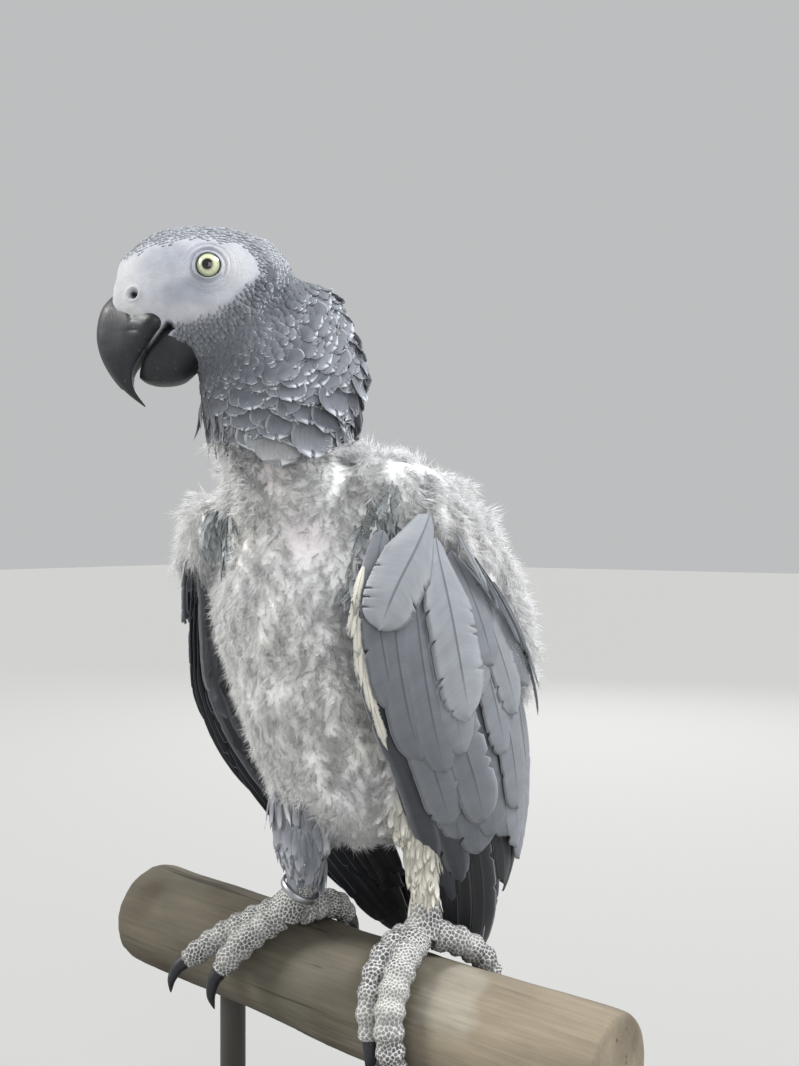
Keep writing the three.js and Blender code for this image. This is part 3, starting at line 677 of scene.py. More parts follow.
def petal(rng, settings):  # a closed small feather: +Y to its tip, +Z away from the skin
    s = settings
    rows = np.linspace(0, 1, s["rows"]) ** 0.9
    across = np.linspace(-1, 1, s["columns"])
    points, vaneMap = [], []
    lean, nick = rng.uniform(-0.12, 0.12), rng.uniform(-1, 1, len(across)) * s["ragged"]
    for v in rows:
        half = s["width"] / 2 * (0.3 + 0.7 * math.sin(min(v / 0.55, 1) * math.pi / 2))
        half *= math.sqrt(max(1 - (max(v - 0.6, 0) / 0.4) ** 2.4, 0.02))
        for x, n in zip(across, nick):
            lift = s["cup"] * (1 - x * x) * math.sin(math.pi * min(v + 0.15, 1))
            lift = lift + s["curl"] * v * v - s["sag"] * v
            points.append((x * half + lean * v * v, v + n * v * v, lift))
            vaneMap.append((0.5 + 0.5 * x, v))
    columns = len(across)
    faces = ringFaces(len(rows), columns, closed=False, looped=False)
    rim = list(range(columns)) + [i * columns + columns - 1 for i in range(1, len(rows))]
    rim += [len(rows) * columns - 2 - j for j in range(columns - 1)]
    rim += [i * columns for i in range(len(rows) - 2, 0, -1)]
    centre = len(points)
    points.append((lean * 0.25, 0.5, s["cup"] * 0.4 + s["curl"] * 0.25 - s["sag"] * 0.5 - s["thick"]))
    vaneMap.append((0.5, 0.5))
    faces += [(after, before, centre) for before, after in zip(rim, rim[1:] + rim[:1])]
    return points, faces, vaneMap

def plume(rng, settings):  # a downy tuft: fine closed barbs that spring from a short curved line
    s = settings
    points, faces, vaneMap = [], [], []
    swing = rng.uniform(-1, 1)
    for b in range(s["barbs"]):
        v = 0.03 + 0.8 * (b + rng.random()) / s["barbs"]
        side = 1 if b % 2 else -1
        spread = side * abs(rng.normal(s["spread"] * (1.1 - 0.6 * v), 0.3))
        rise = rng.normal(s["rise"], 0.36)
        way = [math.sin(spread) * math.cos(rise), math.cos(spread) * math.cos(rise), math.sin(rise)]
        way = unit(np.array(way))
        length = s["barb"] * rng.uniform(0.5, 1.0) * (1 - 0.25 * v)
        root = np.array([s["sway"] * v * v * swing, v * 0.66, s["lift"] * v])
        across = unit(np.cross(way, rng.normal(0, 1, 3)))
        over = np.cross(across, way)
        bow = np.array([0.1 * side, 0.3, rng.uniform(-0.25, 0.25)]) * length
        rings = (0.0, 0.5) if b % 3 == 0 else (0.0,)
        start = len(points)
        for far in rings:
            centre = root + way * length * far + bow * far * far
            for angle in (0, 2.1, 4.2):
                points.append(centre + (across * math.cos(angle) + over * math.sin(angle)) * s["width"] * 0.5)
                vaneMap.append((0.5 + 0.4 * side * far, min(v * 0.6 + 0.4 * far, 1)))
        points.append(root + way * length + bow)
        vaneMap.append((0.5 + 0.45 * side, min(v * 0.6 + 0.4, 1)))
        for ring in range(len(rings) - 1):
            faces += [(start + j, start + (j + 1) % 3, start + (j + 1) % 3 + 3, start + j + 3) for j in range(3)]
        top = start + 3 * (len(rings) - 1)
        faces += [(top + j, top + (j + 1) % 3, start + 3 * len(rings)) for j in range(3)]
        faces.append((start + 2, start + 1, start))
    return np.array(points), faces, vaneMap

def each(size):  # the scale of a pattern that repeats about every so many millimetres
    return 1 / (size * mm)

def finish(name, settings, paint=None):  # paint gives colour, roughness, relief, the relief's depth and strength
    made = bpy.data.materials.new(name)
    made.use_nodes = True
    tree = made.node_tree
    shader = tree.nodes["Principled BSDF"]
    for key, value in settings.items():
        shader.inputs[key].default_value = value
    if paint:
        tint, rough, relief, depth, strength = paint(partial(addNode, tree))
        bump = addNode(tree, "Bump", {"Strength": strength, "Distance": depth * mm, "Height": relief})
        for key, value in (("Base Color", tint), ("Roughness", rough), ("Normal", bump)):
            if value is not None:
                tree.links.new(value, shader.inputs[key])
    return made

def skinPaint(add):  # bare powdery skin with fine creases round the eyes; grey-pink between the feathers
    place = add("TexCoord", out="Object")
    marking = add("Attribute", out="Color", attribute_name="marking")
    bare = add("Attribute", out="Fac", attribute_name="bare")
    mottle = add("TexNoise", {"Vector": place, "Scale": each(3.846), "Detail": 4.0, "Roughness": 0.6})
    pores = add("TexNoise", {"Vector": place, "Scale": each(0.6667), "Detail": 2.0})
    shade = add("MapRange", (mottle, 0.3, 0.7, 0.84, 1.06))
    shades = add("CombineColor", (shade, shade, shade))
    tint = add("Mix", {0: 1.0, 6: marking, 7: shades}, 2, data_type="RGBA", blend_type="MULTIPLY")
    centres = [tuple(float(v) for v in eyeCentre[side] * mm) for side in (1, -1)]
    near = [add("VectorMath", (place, centre), "Value", operation="DISTANCE") for centre in centres]
    nearest = add("Math", near, operation="MINIMUM")
    wobble = add("TexNoise", {"Vector": place, "Scale": each(8.333), "Detail": 2.0})
    bent = add("Math", (wobble, 0.006, nearest), operation="MULTIPLY_ADD")
    turns = add("Math", (bent, 8200.0), operation="MULTIPLY")  # a crease about every 0.77 mm
    rings = add("Math", (turns,), operation="SINE")
    fade = add("MapRange", (nearest, 0.005, 0.0115, 0.2, 0.0))
    creases = add("Math", (rings, fade), operation="MULTIPLY")
    creases = add("Math", (creases, bare), operation="MULTIPLY")
    relief = add("Math", (pores, 0.5, creases), operation="MULTIPLY_ADD")
    return tint, add("MapRange", (mottle, 0.3, 0.7, 0.62, 0.78)), relief, 0.35, 0.55

skinFinish = finish("powdery_skin", {"IOR": 1.42, "Subsurface Weight": 0.0}, skinPaint)

def downPaint(add):  # loose barbs of white down: soft, bright at the tips, greyer at the roots
    place = add("TexCoord", out="Object")
    marking = add("Attribute", out="Color", attribute_name="marking")
    tone = add("Attribute", out="Fac", attribute_name="tone")
    tipward = add("SeparateXYZ", (add("UVMap", uv_map="vane"),), 1)
    clump = add("TexNoise", {"Vector": place, "Scale": each(5.882), "Detail": 3.0})
    # painted shade: the barbs grey towards their roots, for the shade deep in the coat
    root = add("MapRange", (tipward, 0.0, 0.6, 0.9, 1.03))
    toned = add("Math", (tone, 0.08, 0.93), operation="MULTIPLY_ADD")
    shade = add("Math", (root, toned), operation="MULTIPLY")
    patchy = add("MapRange", (clump, 0.32, 0.68, 0.93, 1.02))
    shade = add("Math", (shade, patchy), operation="MULTIPLY")
    tint = add("VectorMath", {0: marking, 3: shade}, operation="SCALE")
    fine = add("TexNoise", {"Vector": place, "Scale": each(0.2857), "Detail": 1.0})
    return tint, add("MapRange", (clump, 0.0, 1.0, 0.78, 0.95)), fine, 0.05, 0.3

downFinish = finish("white_down", {
    "IOR": 1.5, "Specular IOR Level": 0.25, "Sheen Weight": 0.5, "Sheen Roughness": 0.6,
    "Subsurface Weight": 1.0, "Subsurface Radius": (1.0, 1.0, 1.0), "Subsurface Scale": 0.003}, downPaint)

def fromShaft(add, across):  # 0 on a feather's shaft, 1 at its edges
    return add("Math", (add("Math", (across, 2.0, -1.0), operation="MULTIPLY_ADD"),), operation="ABSOLUTE")

def contourPaint(add, rimShare=0.75):  # small body feathers: grey vanes with pale worn edges and a darker root
    marking = add("Attribute", out="Color", attribute_name="marking")
    tone = add("Attribute", out="Fac", attribute_name="tone")
    vaneMap = add("UVMap", uv_map="vane")
    vane = add("SeparateXYZ", (vaneMap,)).node.outputs
    wide = add("MapRange", (fromShaft(add, vane[0]), 0.86, 1.0))
    tip = add("MapRange", (vane[1], 0.87, 0.96))
    rim = add("Math", (wide, tip), operation="MAXIMUM")
    # painted shade: each feather darkens towards its root, for the shadow of the feather that lies over it
    root = add("MapRange", (vane[1], 0.5, 0.92, 0.58, 1.06))
    toned = add("Math", (tone, 0.24, 0.84), operation="MULTIPLY_ADD")
    shade = add("Math", (root, toned), operation="MULTIPLY")
    # 26 barbs across a feather, far fewer than real ones, so that they show
    drawnOut = add("VectorMath", (vaneMap, (26.0, 3.0, 1.0)), operation="MULTIPLY")
    barbs = add("TexNoise", {"Vector": drawnOut, "Scale": 1.0, "Detail": 2.0})
    streaky = add("MapRange", (barbs, 0.3, 0.7, 0.86, 1.1))
    shade = add("Math", (shade, streaky), operation="MULTIPLY")
    vaneTint = add("VectorMath", {0: marking, 3: shade}, operation="SCALE")
    pale = add("Math", (rim, rimShare), operation="MULTIPLY")
    tint = add("Mix", {0: pale, 6: vaneTint, 7: colour("dfe2e8")}, 2, data_type="RGBA")
    return tint, add("MapRange", (barbs, 0.0, 1.0, 0.6, 0.85)), barbs, 0.12, 0.5

contourFinish = finish("grey_contour_feathers", {"IOR": 1.5, "Specular IOR Level": 0.3, "Sheen Weight": 0.12},
                       contourPaint)
trouserFinish = finish("soft_leg_feathers", {"IOR": 1.5, "Specular IOR Level": 0.25, "Sheen Weight": 0.3},
                       lambda add: contourPaint(add, 0.08))

def vanePaint(add):  # long vanes: close barbs, a dark shaft, worn pale edges
    marking = add("Attribute", out="Color", attribute_name="marking")
    barb = add("UVMap", uv_map="barb")
    vane = add("SeparateXYZ", (add("UVMap", uv_map="vane"),)).node.outputs
    side = fromShaft(add, vane[0])
    # barbs lie about 0.35 mm apart; drawn at 0.7 mm so that they show
    close = add("VectorMath", (barb, (25.0, 145.0, 1.0)), operation="MULTIPLY")
    lines = add("TexNoise", {"Vector": close, "Scale": 1.0, "Detail": 2.0, "Roughness": 0.6})
    loose = add("VectorMath", (barb, (10.0, 22.0, 1.0)), operation="MULTIPLY")
    broad = add("TexNoise", {"Vector": loose, "Scale": 1.0, "Detail": 3.0})
    fine = add("MapRange", (lines, 0.3, 0.7, 0.94, 1.05))
    wide = add("MapRange", (broad, 0.3, 0.7, 0.9, 1.06))
    shade = add("Math", (fine, wide), operation="MULTIPLY")
    tint = add("VectorMath", {0: marking, 3: shade}, operation="SCALE")
    worn = add("MapRange", (side, 0.93, 1.0, 0.0, 0.6))
    tint = add("Mix", {0: worn, 6: tint, 7: colour("c9ccd4")}, 2, data_type="RGBA")
    shaft = add("MapRange", (side, 0.025, 0.06, 0.62, 0.0))
    ending = add("MapRange", (vane[1], 0.75, 0.97, 1.0, 0.0))
    shaft = add("Math", (shaft, ending), operation="MULTIPLY")
    tint = add("Mix", {0: shaft, 6: tint, 7: colour("3a3d46")}, 2, data_type="RGBA")
    return tint, add("MapRange", (lines, 0.0, 1.0, 0.48, 0.72)), lines, 0.1, 0.35

vaneFinish = finish("flight_feathers", {"IOR": 1.54, "Specular IOR Level": 0.4, "Sheen Weight": 0.1}, vanePaint)

def hornPaint(add):  # black keratin: satin, dusty in patches, fine scratches, pale where it flakes at the edges
    place = add("TexCoord", out="Object")
    flake = add("Attribute", out="Fac", attribute_name="flake")
    dust = add("TexNoise", {"Vector": place, "Scale": each(10.53), "Detail": 5.0, "Roughness": 0.65})
    specks = add("TexNoise", {"Vector": place, "Scale": each(1.111), "Detail": 2.0})
    scratches = (each(0.4167), each(0.4167), each(5.556))  # fine across, long down the bill
    drawnOut = add("Mapping", {0: place, 2: (0.0, 0.35, math.radians(46)), 3: scratches})
    streak = add("TexNoise", {"Vector": drawnOut, "Scale": 1.0, "Detail": 2.0})
    amount = add("MapRange", (dust, 0.42, 0.72))
    tint = add("Mix", {0: amount, 6: colour("0d0f13"), 7: colour("22262e")}, 2, data_type="RGBA")
    flecks = add("MapRange", (specks, 0.68, 0.78, 0.0, 0.4))
    tint = add("Mix", {0: flecks, 6: tint, 7: colour("8b8f96")}, 2, data_type="RGBA")
    tint = add("Mix", {0: flake, 6: tint, 7: colour("b9bbbf")}, 2, data_type="RGBA")
    relief = add("Math", (dust, 1.4, streak), operation="MULTIPLY_ADD")
    return tint, add("MapRange", (dust, 0.35, 0.7, 0.38, 0.62)), relief, 0.12, 0.5

hornFinish = finish("black_keratin", {"IOR": 1.55}, hornPaint)

irisStops = [(0.0, "050506"), (0.305, "07080a"), (0.325, "7d8266"), (0.37, "c3c79d"), (0.5, "dcddbd"),
             (0.67, "c0c69b"), (0.745, "76805f"), (0.79, "23262a"), (1.0, "17181b")]  # from the pupil outwards

def eyePaint(add):  # a pale yellow-green iris under a wet cornea
    irisMap = add("UVMap", uv_map="iris")
    drawnOut = add("VectorMath", (irisMap, (60.0, 3.0, 1.0)), operation="MULTIPLY")
    spokes = add("TexNoise", {"Vector": drawnOut, "Scale": 1.0, "Detail": 2.0})
    rings = add("ValToRGB", (add("SeparateXYZ", (irisMap,), 1),))
    stops = rings.node.color_ramp.elements
    for k, (position, code) in enumerate(irisStops):
        stop = stops[k] if k < 2 else stops.new(position)
        stop.position = position
        stop.color = colour(code)
    shade = add("MapRange", (spokes, 0.25, 0.75, 0.82, 1.08))
    return add("VectorMath", {0: rings, 3: shade}, operation="SCALE"), None, spokes, 0.02, 0.2

eyeFinish = finish("wet_eye", {"IOR": 1.38, "Roughness": 0.06, "Coat Weight": 1.0, "Coat Roughness": 0.02},
                   eyePaint)

def scalePaint(add):  # foot scales: dark grey plates parted by a pale dry net
    place = add("TexCoord", out="Object")
    rim, tone, worn = (add("Attribute", out="Fac", attribute_name=name) for name in ("rim", "tone", "worn"))
    grit = add("TexNoise", {"Vector": place, "Scale": each(0.7143), "Detail": 3.0})
    plate = add("Mix", {0: tone, 6: colour("3b3c3f"), 7: colour("66676a")}, 2, data_type="RGBA")
    rubbed = add("MapRange", (worn, 0.3, 0.9, 0.0, 0.55))
    plate = add("Mix", {0: rubbed, 6: plate, 7: colour("a3a29e")}, 2, data_type="RGBA")
    net = add("MapRange", (rim, 0.09, 0.2, 1.0, 0.0))
    tint = add("Mix", {0: net, 6: plate, 7: colour("c6c5c0")}, 2, data_type="RGBA")
    dusty = add("MapRange", (grit, 0.3, 0.7, 0.85, 1.1))
    tint = add("VectorMath", {0: tint, 3: dusty}, operation="SCALE")
    return tint, add("MapRange", (grit, 0.0, 1.0, 0.5, 0.75)), grit, 0.08, 0.5

scaleFinish = finish("foot_scales", {"IOR": 1.5}, scalePaint)

def barkPaint(add):  # a cut branch gone grey: long grain, dark checks, worn pale patches
    place = add("TexCoord", out="Object")
    marking = add("Attribute", out="Color", attribute_name="marking")
    def grained(long, wide, **noise):  # a pattern drawn out along the branch
        drawnOut = add("Mapping", {0: place, 3: (each(long), each(wide), each(wide))})
        return add("TexNoise", {"Vector": drawnOut, "Scale": 1.0, **noise})
    # wood fibres, drawn about 1 mm wide so that they show
    grain = grained(62.5, 1.111, Detail=6.0, Roughness=0.7)
    patches = grained(50, 16.67, Detail=5.0)
    cracks = grained(111.1, 3.03, Detail=3.0)
    fine = add("MapRange", (grain, 0.3, 0.7, 0.82, 1.1))
    dark = add("MapRange", (cracks, 0.62, 0.69, 1.0, 0.45))
    fine = add("Math", (fine, dark), operation="MULTIPLY")
    broad = add("MapRange", (patches, 0.3, 0.7, 0.4, 0.76))
    shade = add("Math", (fine, broad), operation="MULTIPLY")
    tint = add("VectorMath", {0: marking, 3: shade}, operation="SCALE")
    return tint, add("MapRange", (grain, 0.0, 1.0, 0.65, 0.92)), grain, 0.4, 0.5

barkFinish = finish("weathered_branch", {"IOR": 1.5, "Specular IOR Level": 0.3}, barkPaint)

def metalPaint(add):  # a worn aluminium band: dull spots and fine pits
    worn = add("TexNoise", {"Vector": add("TexCoord", out="Object"), "Scale": each(1.429), "Detail": 4.0})
    tint = add("Mix", {0: worn, 6: colour("8e9196"), 7: colour("c4c6c9")}, 2, data_type="RGBA")
    return tint, add("MapRange", (worn, 0.0, 1.0, 0.28, 0.5)), worn, 0.05, 0.4

metalFinish = finish("aluminium_band", {"Metallic": 1.0}, metalPaint)

def standPaint(add):  # satin dark grey paint: faint orange peel, duller where it is handled
    place = add("TexCoord", out="Object")
    peel = add("TexNoise", {"Vector": place, "Scale": each(1.111), "Detail": 2.0})
    worn = add("TexNoise", {"Vector": place, "Scale": each(33.33), "Detail": 4.0})
    tint = add("Mix", {0: worn, 6: colour("35332f"), 7: colour("413e39")}, 2, data_type="RGBA")
    return tint, add("MapRange", (worn, 0.3, 0.7, 0.52, 0.64)), peel, 0.03, 0.3

standFinish = finish("satin_grey_paint", {"IOR": 1.5}, standPaint)

# wings and tail: vanes that lie on a surface between two edges, as the solids' blades do
wings = {
    "left": {
        "leading": [[30, -16, 256], [31, -30, 232], [32, -33, 212], [32, -25, 186], [30, -6, 157],
                    [27.5, 10, 132], [25, 19, 111], [23, 24, 94]],
        "trailing": [[33, 8, 246], [40, 17, 230], [43, 27, 209], [43, 34, 186], [41, 38, 162], [38, 40, 142],
                     [34, 39, 122], [21, 35, 97]],
        "bulge": 5, "outward": [0.9, -0.4, 0.1]},
    "right": {
        "leading": [[-43, -35, 238], [-44, -31, 220], [-47, -27, 202], [-51, -20, 183], [-49.5, -9, 162],
                    [-41, 6, 138], [-29, 25, 113], [-20, 37, 94]],
        "trailing": [[-45, 2, 244], [-50, 12, 226], [-51, 24, 206], [-48, 33, 185], [-41, 40, 162],
                     [-30, 42, 140], [-14, 40, 116], [-5, 41, 93]],
        "bulge": 5, "outward": [-0.95, -0.1, 0.1]},
    "tail": {
        "leading": [[-11, 42, 150], [-14, 49, 130], [-17, 54, 109], [-19, 57, 86]],
        "trailing": [[4, 43, 150], [6, 50, 130], [7.5, 55.5, 109], [8, 58.5, 86]],
        "bulge": 2, "outward": [0.1, 0.9, 0.35]},
}

def wingPlace(wing, t, w):  # t runs down the wing, w from its leading to its trailing edge
    t, w = np.atleast_1d(np.asarray(t, float)), np.atleast_1d(np.asarray(w, float))
    beyond = np.maximum(t - 1, 0)[:, None]
    front, back = along(wing["leading"], np.clip(t, 0, 1)), along(wing["trailing"], np.clip(t, 0, 1))
    front = front + beyond * 8 * (front - along(wing["leading"], np.clip(t, 0, 1) - 0.125))
    chord = back - front
    out = np.array(wing["outward"], float)[None]
    out = unit(out - chord * (np.sum(out * chord, 1) / np.sum(chord * chord, 1))[:, None])
    return front + chord * w[:, None] + out * (wing["bulge"] * 4 * w * (1 - w))[:, None]

def wingNormal(wing, t, w):
    t, w = np.atleast_1d(np.asarray(t, float)), np.atleast_1d(np.asarray(w, float))
    down = wingPlace(wing, np.minimum(1, t + 0.01), w) - wingPlace(wing, np.minimum(1, t + 0.01) - 0.02, w)
    back = wingPlace(wing, t, w + 0.01) - wingPlace(wing, t, w - 0.01)
    square = unit(np.cross(down, back))
    return square * np.sign(square @ np.array(wing["outward"]))[:, None]

plumeTints = palette({
    "pale": "aaadb3", "silver": "8e9297", "ash": "80848a", "slate": "696d73", "dark": "3b3e45", "black": "17181b",
    "cream": "d3cfc2", "red": "a31b14", "redDark": "6d1512"})
plainVane = {"width": 12, "lift": 1, "sink": 4, "rows": 40, "camber": 0.9, "tint": "slate", "edge": "silver",
             "base": None, "bend": 0, "rounded": 0.2, "frayed": 0.8, "splits": 3, "narrow": 0.86, "thick": 0.45,
             "shaft": 0.28, "ripple": 0.22}

def vaneWear(rng, s, u, columns):  # notches and frayed ends: the share of its width that each point keeps
    wear = np.ones((len(u), len(columns)))
    for side in (-1, 1):
        cut = 1 - 0.03 * s["frayed"] * rng.random(len(u))
        for _ in range(rng.integers(max(s["splits"] - 2, 0), s["splits"] + 1)):
            cut[rng.integers(len(u) // 4, len(u))] *= rng.uniform(0.72, 0.94)
        wear[:, columns * side > 0.9] *= cut[:, None]
        wear[:, np.abs(columns * side - 0.8) < 0.1] *= (0.4 + 0.6 * cut)[:, None]
    return wear

def vaneFaces(count, cols):  # a strip over a keel: rows of cols points, then count points under the shaft
    faces = []
    for i in range(count - 1):
        a, b = i * cols, count * cols + i
        faces += [(a + j + 1, a + j, a + j + cols, a + j + 1 + cols) for j in range(cols - 1)]
        faces += [(a, b, b + 1, a + cols), (b, a + cols - 1, a + 2 * cols - 1, b + 1)]
    faces.append(tuple(range(cols)) + (count * cols,))
    faces.append(tuple(reversed(range((count - 1) * cols, count * cols))) + (count * cols + count - 1,))
    return faces

def vane(wing, settings, seed):  # one long feather: points, faces, its two maps and its tints
    s = {**plainVane, **settings}
    rng = np.random.default_rng(seed)
    u = np.linspace(0, 1, s["rows"] + 1)
    (t0, w0), (t1, w1) = s["root"], s["tip"]
    t, w = t0 + (t1 - t0) * u, w0 + (w1 - w0) * u + s["bend"] * np.sin(np.pi * u)
    up = wingNormal(wing, t, w)
    spine = wingPlace(wing, t, w) + up * (s["lift"] - s["sink"] * (1 - u) ** 3)[:, None]
    run = unit(np.gradient(spine, axis=0))
    up = unit(up - run * np.sum(up * run, 1, keepdims=True))
    across = np.cross(up, run)
    up = np.cross(run, across)
    distance = u * np.linalg.norm(np.diff(spine, axis=0), axis=1).sum()
    ending = (np.maximum(u - (1 - s["rounded"]), 0) / s["rounded"]) ** 2.2
    half = s["width"] / 2 * np.minimum(1, 0.4 + 2.2 * u) * np.sqrt(np.clip(1 - ending, 0.03, 1))
    columns = np.array([-1, -0.8, -0.5, -0.2, -0.05, 0, 0.05, 0.2, 0.5, 0.8, 1])
    outer = np.abs(columns)[None]
    share = columns[None] * vaneWear(rng, s, u, columns)
    reach = share * half[:, None] * np.where(columns < 0, s["narrow"], 1)[None]
    forth = np.abs(reach) * 0.7 * np.clip(1.25 - u, 0.3, 1)[:, None]
    tipWear = rng.uniform(-1.4, 0.6, 7)
    tipWear = np.interp(np.linspace(0, 1, len(columns)), np.linspace(0, 1, 7), tipWear) * s["frayed"]
    forth = forth + tipWear[None] * (u ** 10)[:, None]
    flow = [reach.ravel() * 0.8, np.repeat(distance, len(columns)) * 0.5, np.full(reach.size, seed * 3.1)]
    ripple = hashNoise(np.stack(flow, 1), 3.2, 5).reshape(reach.shape)
    rise = s["camber"] * (1 - columns[None] ** 2) * np.ones((len(u), 1)) + s["ripple"] * ripple * outer
    rise = rise + np.where(outer < 0.03, s["shaft"], 0) * (1 - u)[:, None] - s["camber"]
    points = (spine[:, None] + across[:, None] * reach[..., None] + run[:, None] * forth[..., None]
              + up[:, None] * rise[..., None])
    under = spine + up * (rise[:, 5] - s["thick"])[:, None]
    count, cols = len(u), len(columns)
    flat = np.stack([np.tile(0.5 + 0.5 * columns, count), np.repeat(u, cols)], 1)
    vaneMap = np.vstack([flat, np.stack([np.full(count, 0.3), u], 1)])
    flat = np.stack([reach.ravel(), np.repeat(distance, cols)], 1)
    barbMap = np.vstack([flat, np.stack([np.zeros(count), distance], 1)]) / 100 + [0, seed * 1.37]
    tint, edge, base = plumeTints[s["tint"]], plumeTints[s["edge"]], plumeTints[s["base"] or s["tint"]]
    toned = rng.uniform(0.9, 1.08)
    top = base + (tint - base) * np.clip(u[:, None, None] * 2.2 - 0.1, 0, 1)
    top = top + (edge - top) * (0.55 * np.clip((outer[..., None] - 0.55) / 0.45, 0, 1))
    top = np.clip(top * toned, 0, 1).reshape(-1, 3)
    # painted shade: the underside takes the top's tint at three quarters, a darker shaded copy of it
    shadedUnderside = np.repeat(np.clip(tint * 0.75 * toned, 0, 1)[None], count, 0)
    points = np.vstack([points.reshape(-1, 3), under])
    return points, vaneFaces(count, cols), vaneMap, barbMap, np.vstack([top, shadedUnderside])

def vaneRow(name, wing, feathers, replaced, seed):  # feathers joined, each with its own patch of the map
    made = [vane(wing, settings, seed + k) for k, settings in enumerate(feathers)]
    points, faces = joined([feather[:2] for feather in made])
    vaneMap, barbMap, tints = (np.vstack([feather[k] for feather in made]) for k in (2, 3, 4))
    across = math.ceil(math.sqrt(len(feathers)))
    patches = np.vstack([(np.array([k % across, k // across], float) + 0.04 + feather[2] * 0.92) / across
                         for k, feather in enumerate(made)])
    piece = meshObject(name, points, faces, vaneFinish)
    corners = cornersOf(piece.data)
    for key, values in (("vane", vaneMap), ("barb", barbMap), ("OFBake", patches)):
        storeAttribute(piece.data, key, "FLOAT2", values[corners], "CORNER")
    storeAttribute(piece.data, "marking", "FLOAT_COLOR", opaque(tints))
    print(name, len(feathers), "feathers", sum(len(f) - 2 for f in faces), "triangles")
    return finishPiece(piece, replaced)

def feathersOf(kind, rows):  # root t, root w, tip t, tip w, width, lift, tint
    return [{**kind, "root": (t0, w0), "tip": (t1, w1), "width": width, "lift": lift, "tint": tint}
            for t0, w0, t1, w1, width, lift, tint in rows]

def spreadRow(count, rootLine, tipLine, settings, jitter, seed):  # like feathers between two lines on a wing
    rng = np.random.default_rng(seed)
    row = []
    for k in range(count):
        f = k / (count - 1)
        root, tip = ([np.interp(f, np.linspace(0, 1, len(line)), [p[i] for p in line]) for i in (0, 1)]
                     for line in (rootLine, tipLine))
        tip = [tip[0] + rng.normal(0, jitter), tip[1] + rng.normal(0, jitter)]
        lift = settings["lift"] + 0.22 * (k % 3) + 0.05 * k
        row.append({**settings, "root": root, "tip": tip, "lift": lift})
    return row

left, right, tail = wings["left"], wings["right"], wings["tail"]
blackVane = {"edge": "dark", "base": "dark", "camber": 0.7, "rows": 60, "splits": 4}
slateVane = {"tint": "slate", "edge": "ash", "base": "slate", "width": 15, "lift": 1.2, "rows": 56, "splits": 4}
paleVane = {"tint": "silver", "edge": "pale", "base": "silver", "rows": 60, "splits": 6, "camber": 1.3}
wispVane = {"rows": 40, "frayed": 6, "splits": 8, "camber": 0.3, "sink": 2}

vaneRow("left_primaries", left, feathersOf(blackVane, [
    (0.42, 0.02, 0.90, -0.12, 10, -1.2, "black"), (0.42, 0.06, 0.86, -0.05, 10, -1.0, "black"),
    (0.42, 0.10, 0.80, 0.02, 10, -0.8, "dark"), (0.42, 0.14, 0.88, 0.10, 10, -0.8, "black"),
    (0.43, 0.20, 0.97, 0.22, 10, -0.4, "black"), (0.44, 0.26, 1.0, 0.44, 10, 0.0, "black"),
    (0.45, 0.32, 0.93, 0.55, 8, -0.5, "black"), (0.45, 0.42, 0.83, 0.73, 9, -0.2, "black"),
    (0.46, 0.55, 0.875, 0.98, 8, -0.6, "black"), (0.46, 0.5, 0.835, 0.88, 9, -0.9, "black")]),
    ("wing_left_primaries",), 100)
vaneRow("left_secondaries", left, feathersOf(slateVane, [
    (0.30, -0.02, 0.52, -0.01, 9, 0.2, "dark"), (0.30, 0.02, 0.60, 0.03, 10, 0.4, "dark"),
    (0.30, 0.04, 0.69, -0.05, 9, 0.6, "dark"), (0.31, 0.08, 0.755, 0.12, 10, 0.4, "dark"),
    (0.28, 0.20, 0.66, 0.22, 17, 0.9, "slate"), (0.28, 0.34, 0.705, 0.34, 16, 1.2, "slate"),
    (0.28, 0.42, 0.68, 0.50, 15, 1.7, "slate"), (0.27, 0.54, 0.70, 0.64, 14, 1.3, "slate"),
    (0.26, 0.62, 0.745, 0.80, 13, 1.8, "ash"), (0.25, 0.72, 0.79, 0.93, 12, 1.4, "ash"),
    (0.24, 0.82, 0.745, 1.02, 10, 0.9, "ash"), (0.24, 0.14, 0.62, 0.14, 15, 2.3, "slate"),
    (0.24, 0.30, 0.635, 0.40, 16, 2.6, "slate"), (0.24, 0.66, 0.645, 0.76, 14, 2.7, "ash")]),
    ("wing_left_secondaries",), 200)
largeCoverts = [
    {**paleVane, "root": (0.11, 0.42), "tip": (0.445, 0.41), "width": 20, "lift": 4.6, "camber": 1.6,
     "rounded": 0.3, "rows": 80},
    {**paleVane, "root": (0.07, 0.36), "tip": (0.29, 0.03), "width": 19, "lift": 4.6, "camber": 1.6,
     "rounded": 0.4, "rows": 80, "bend": -0.03}]
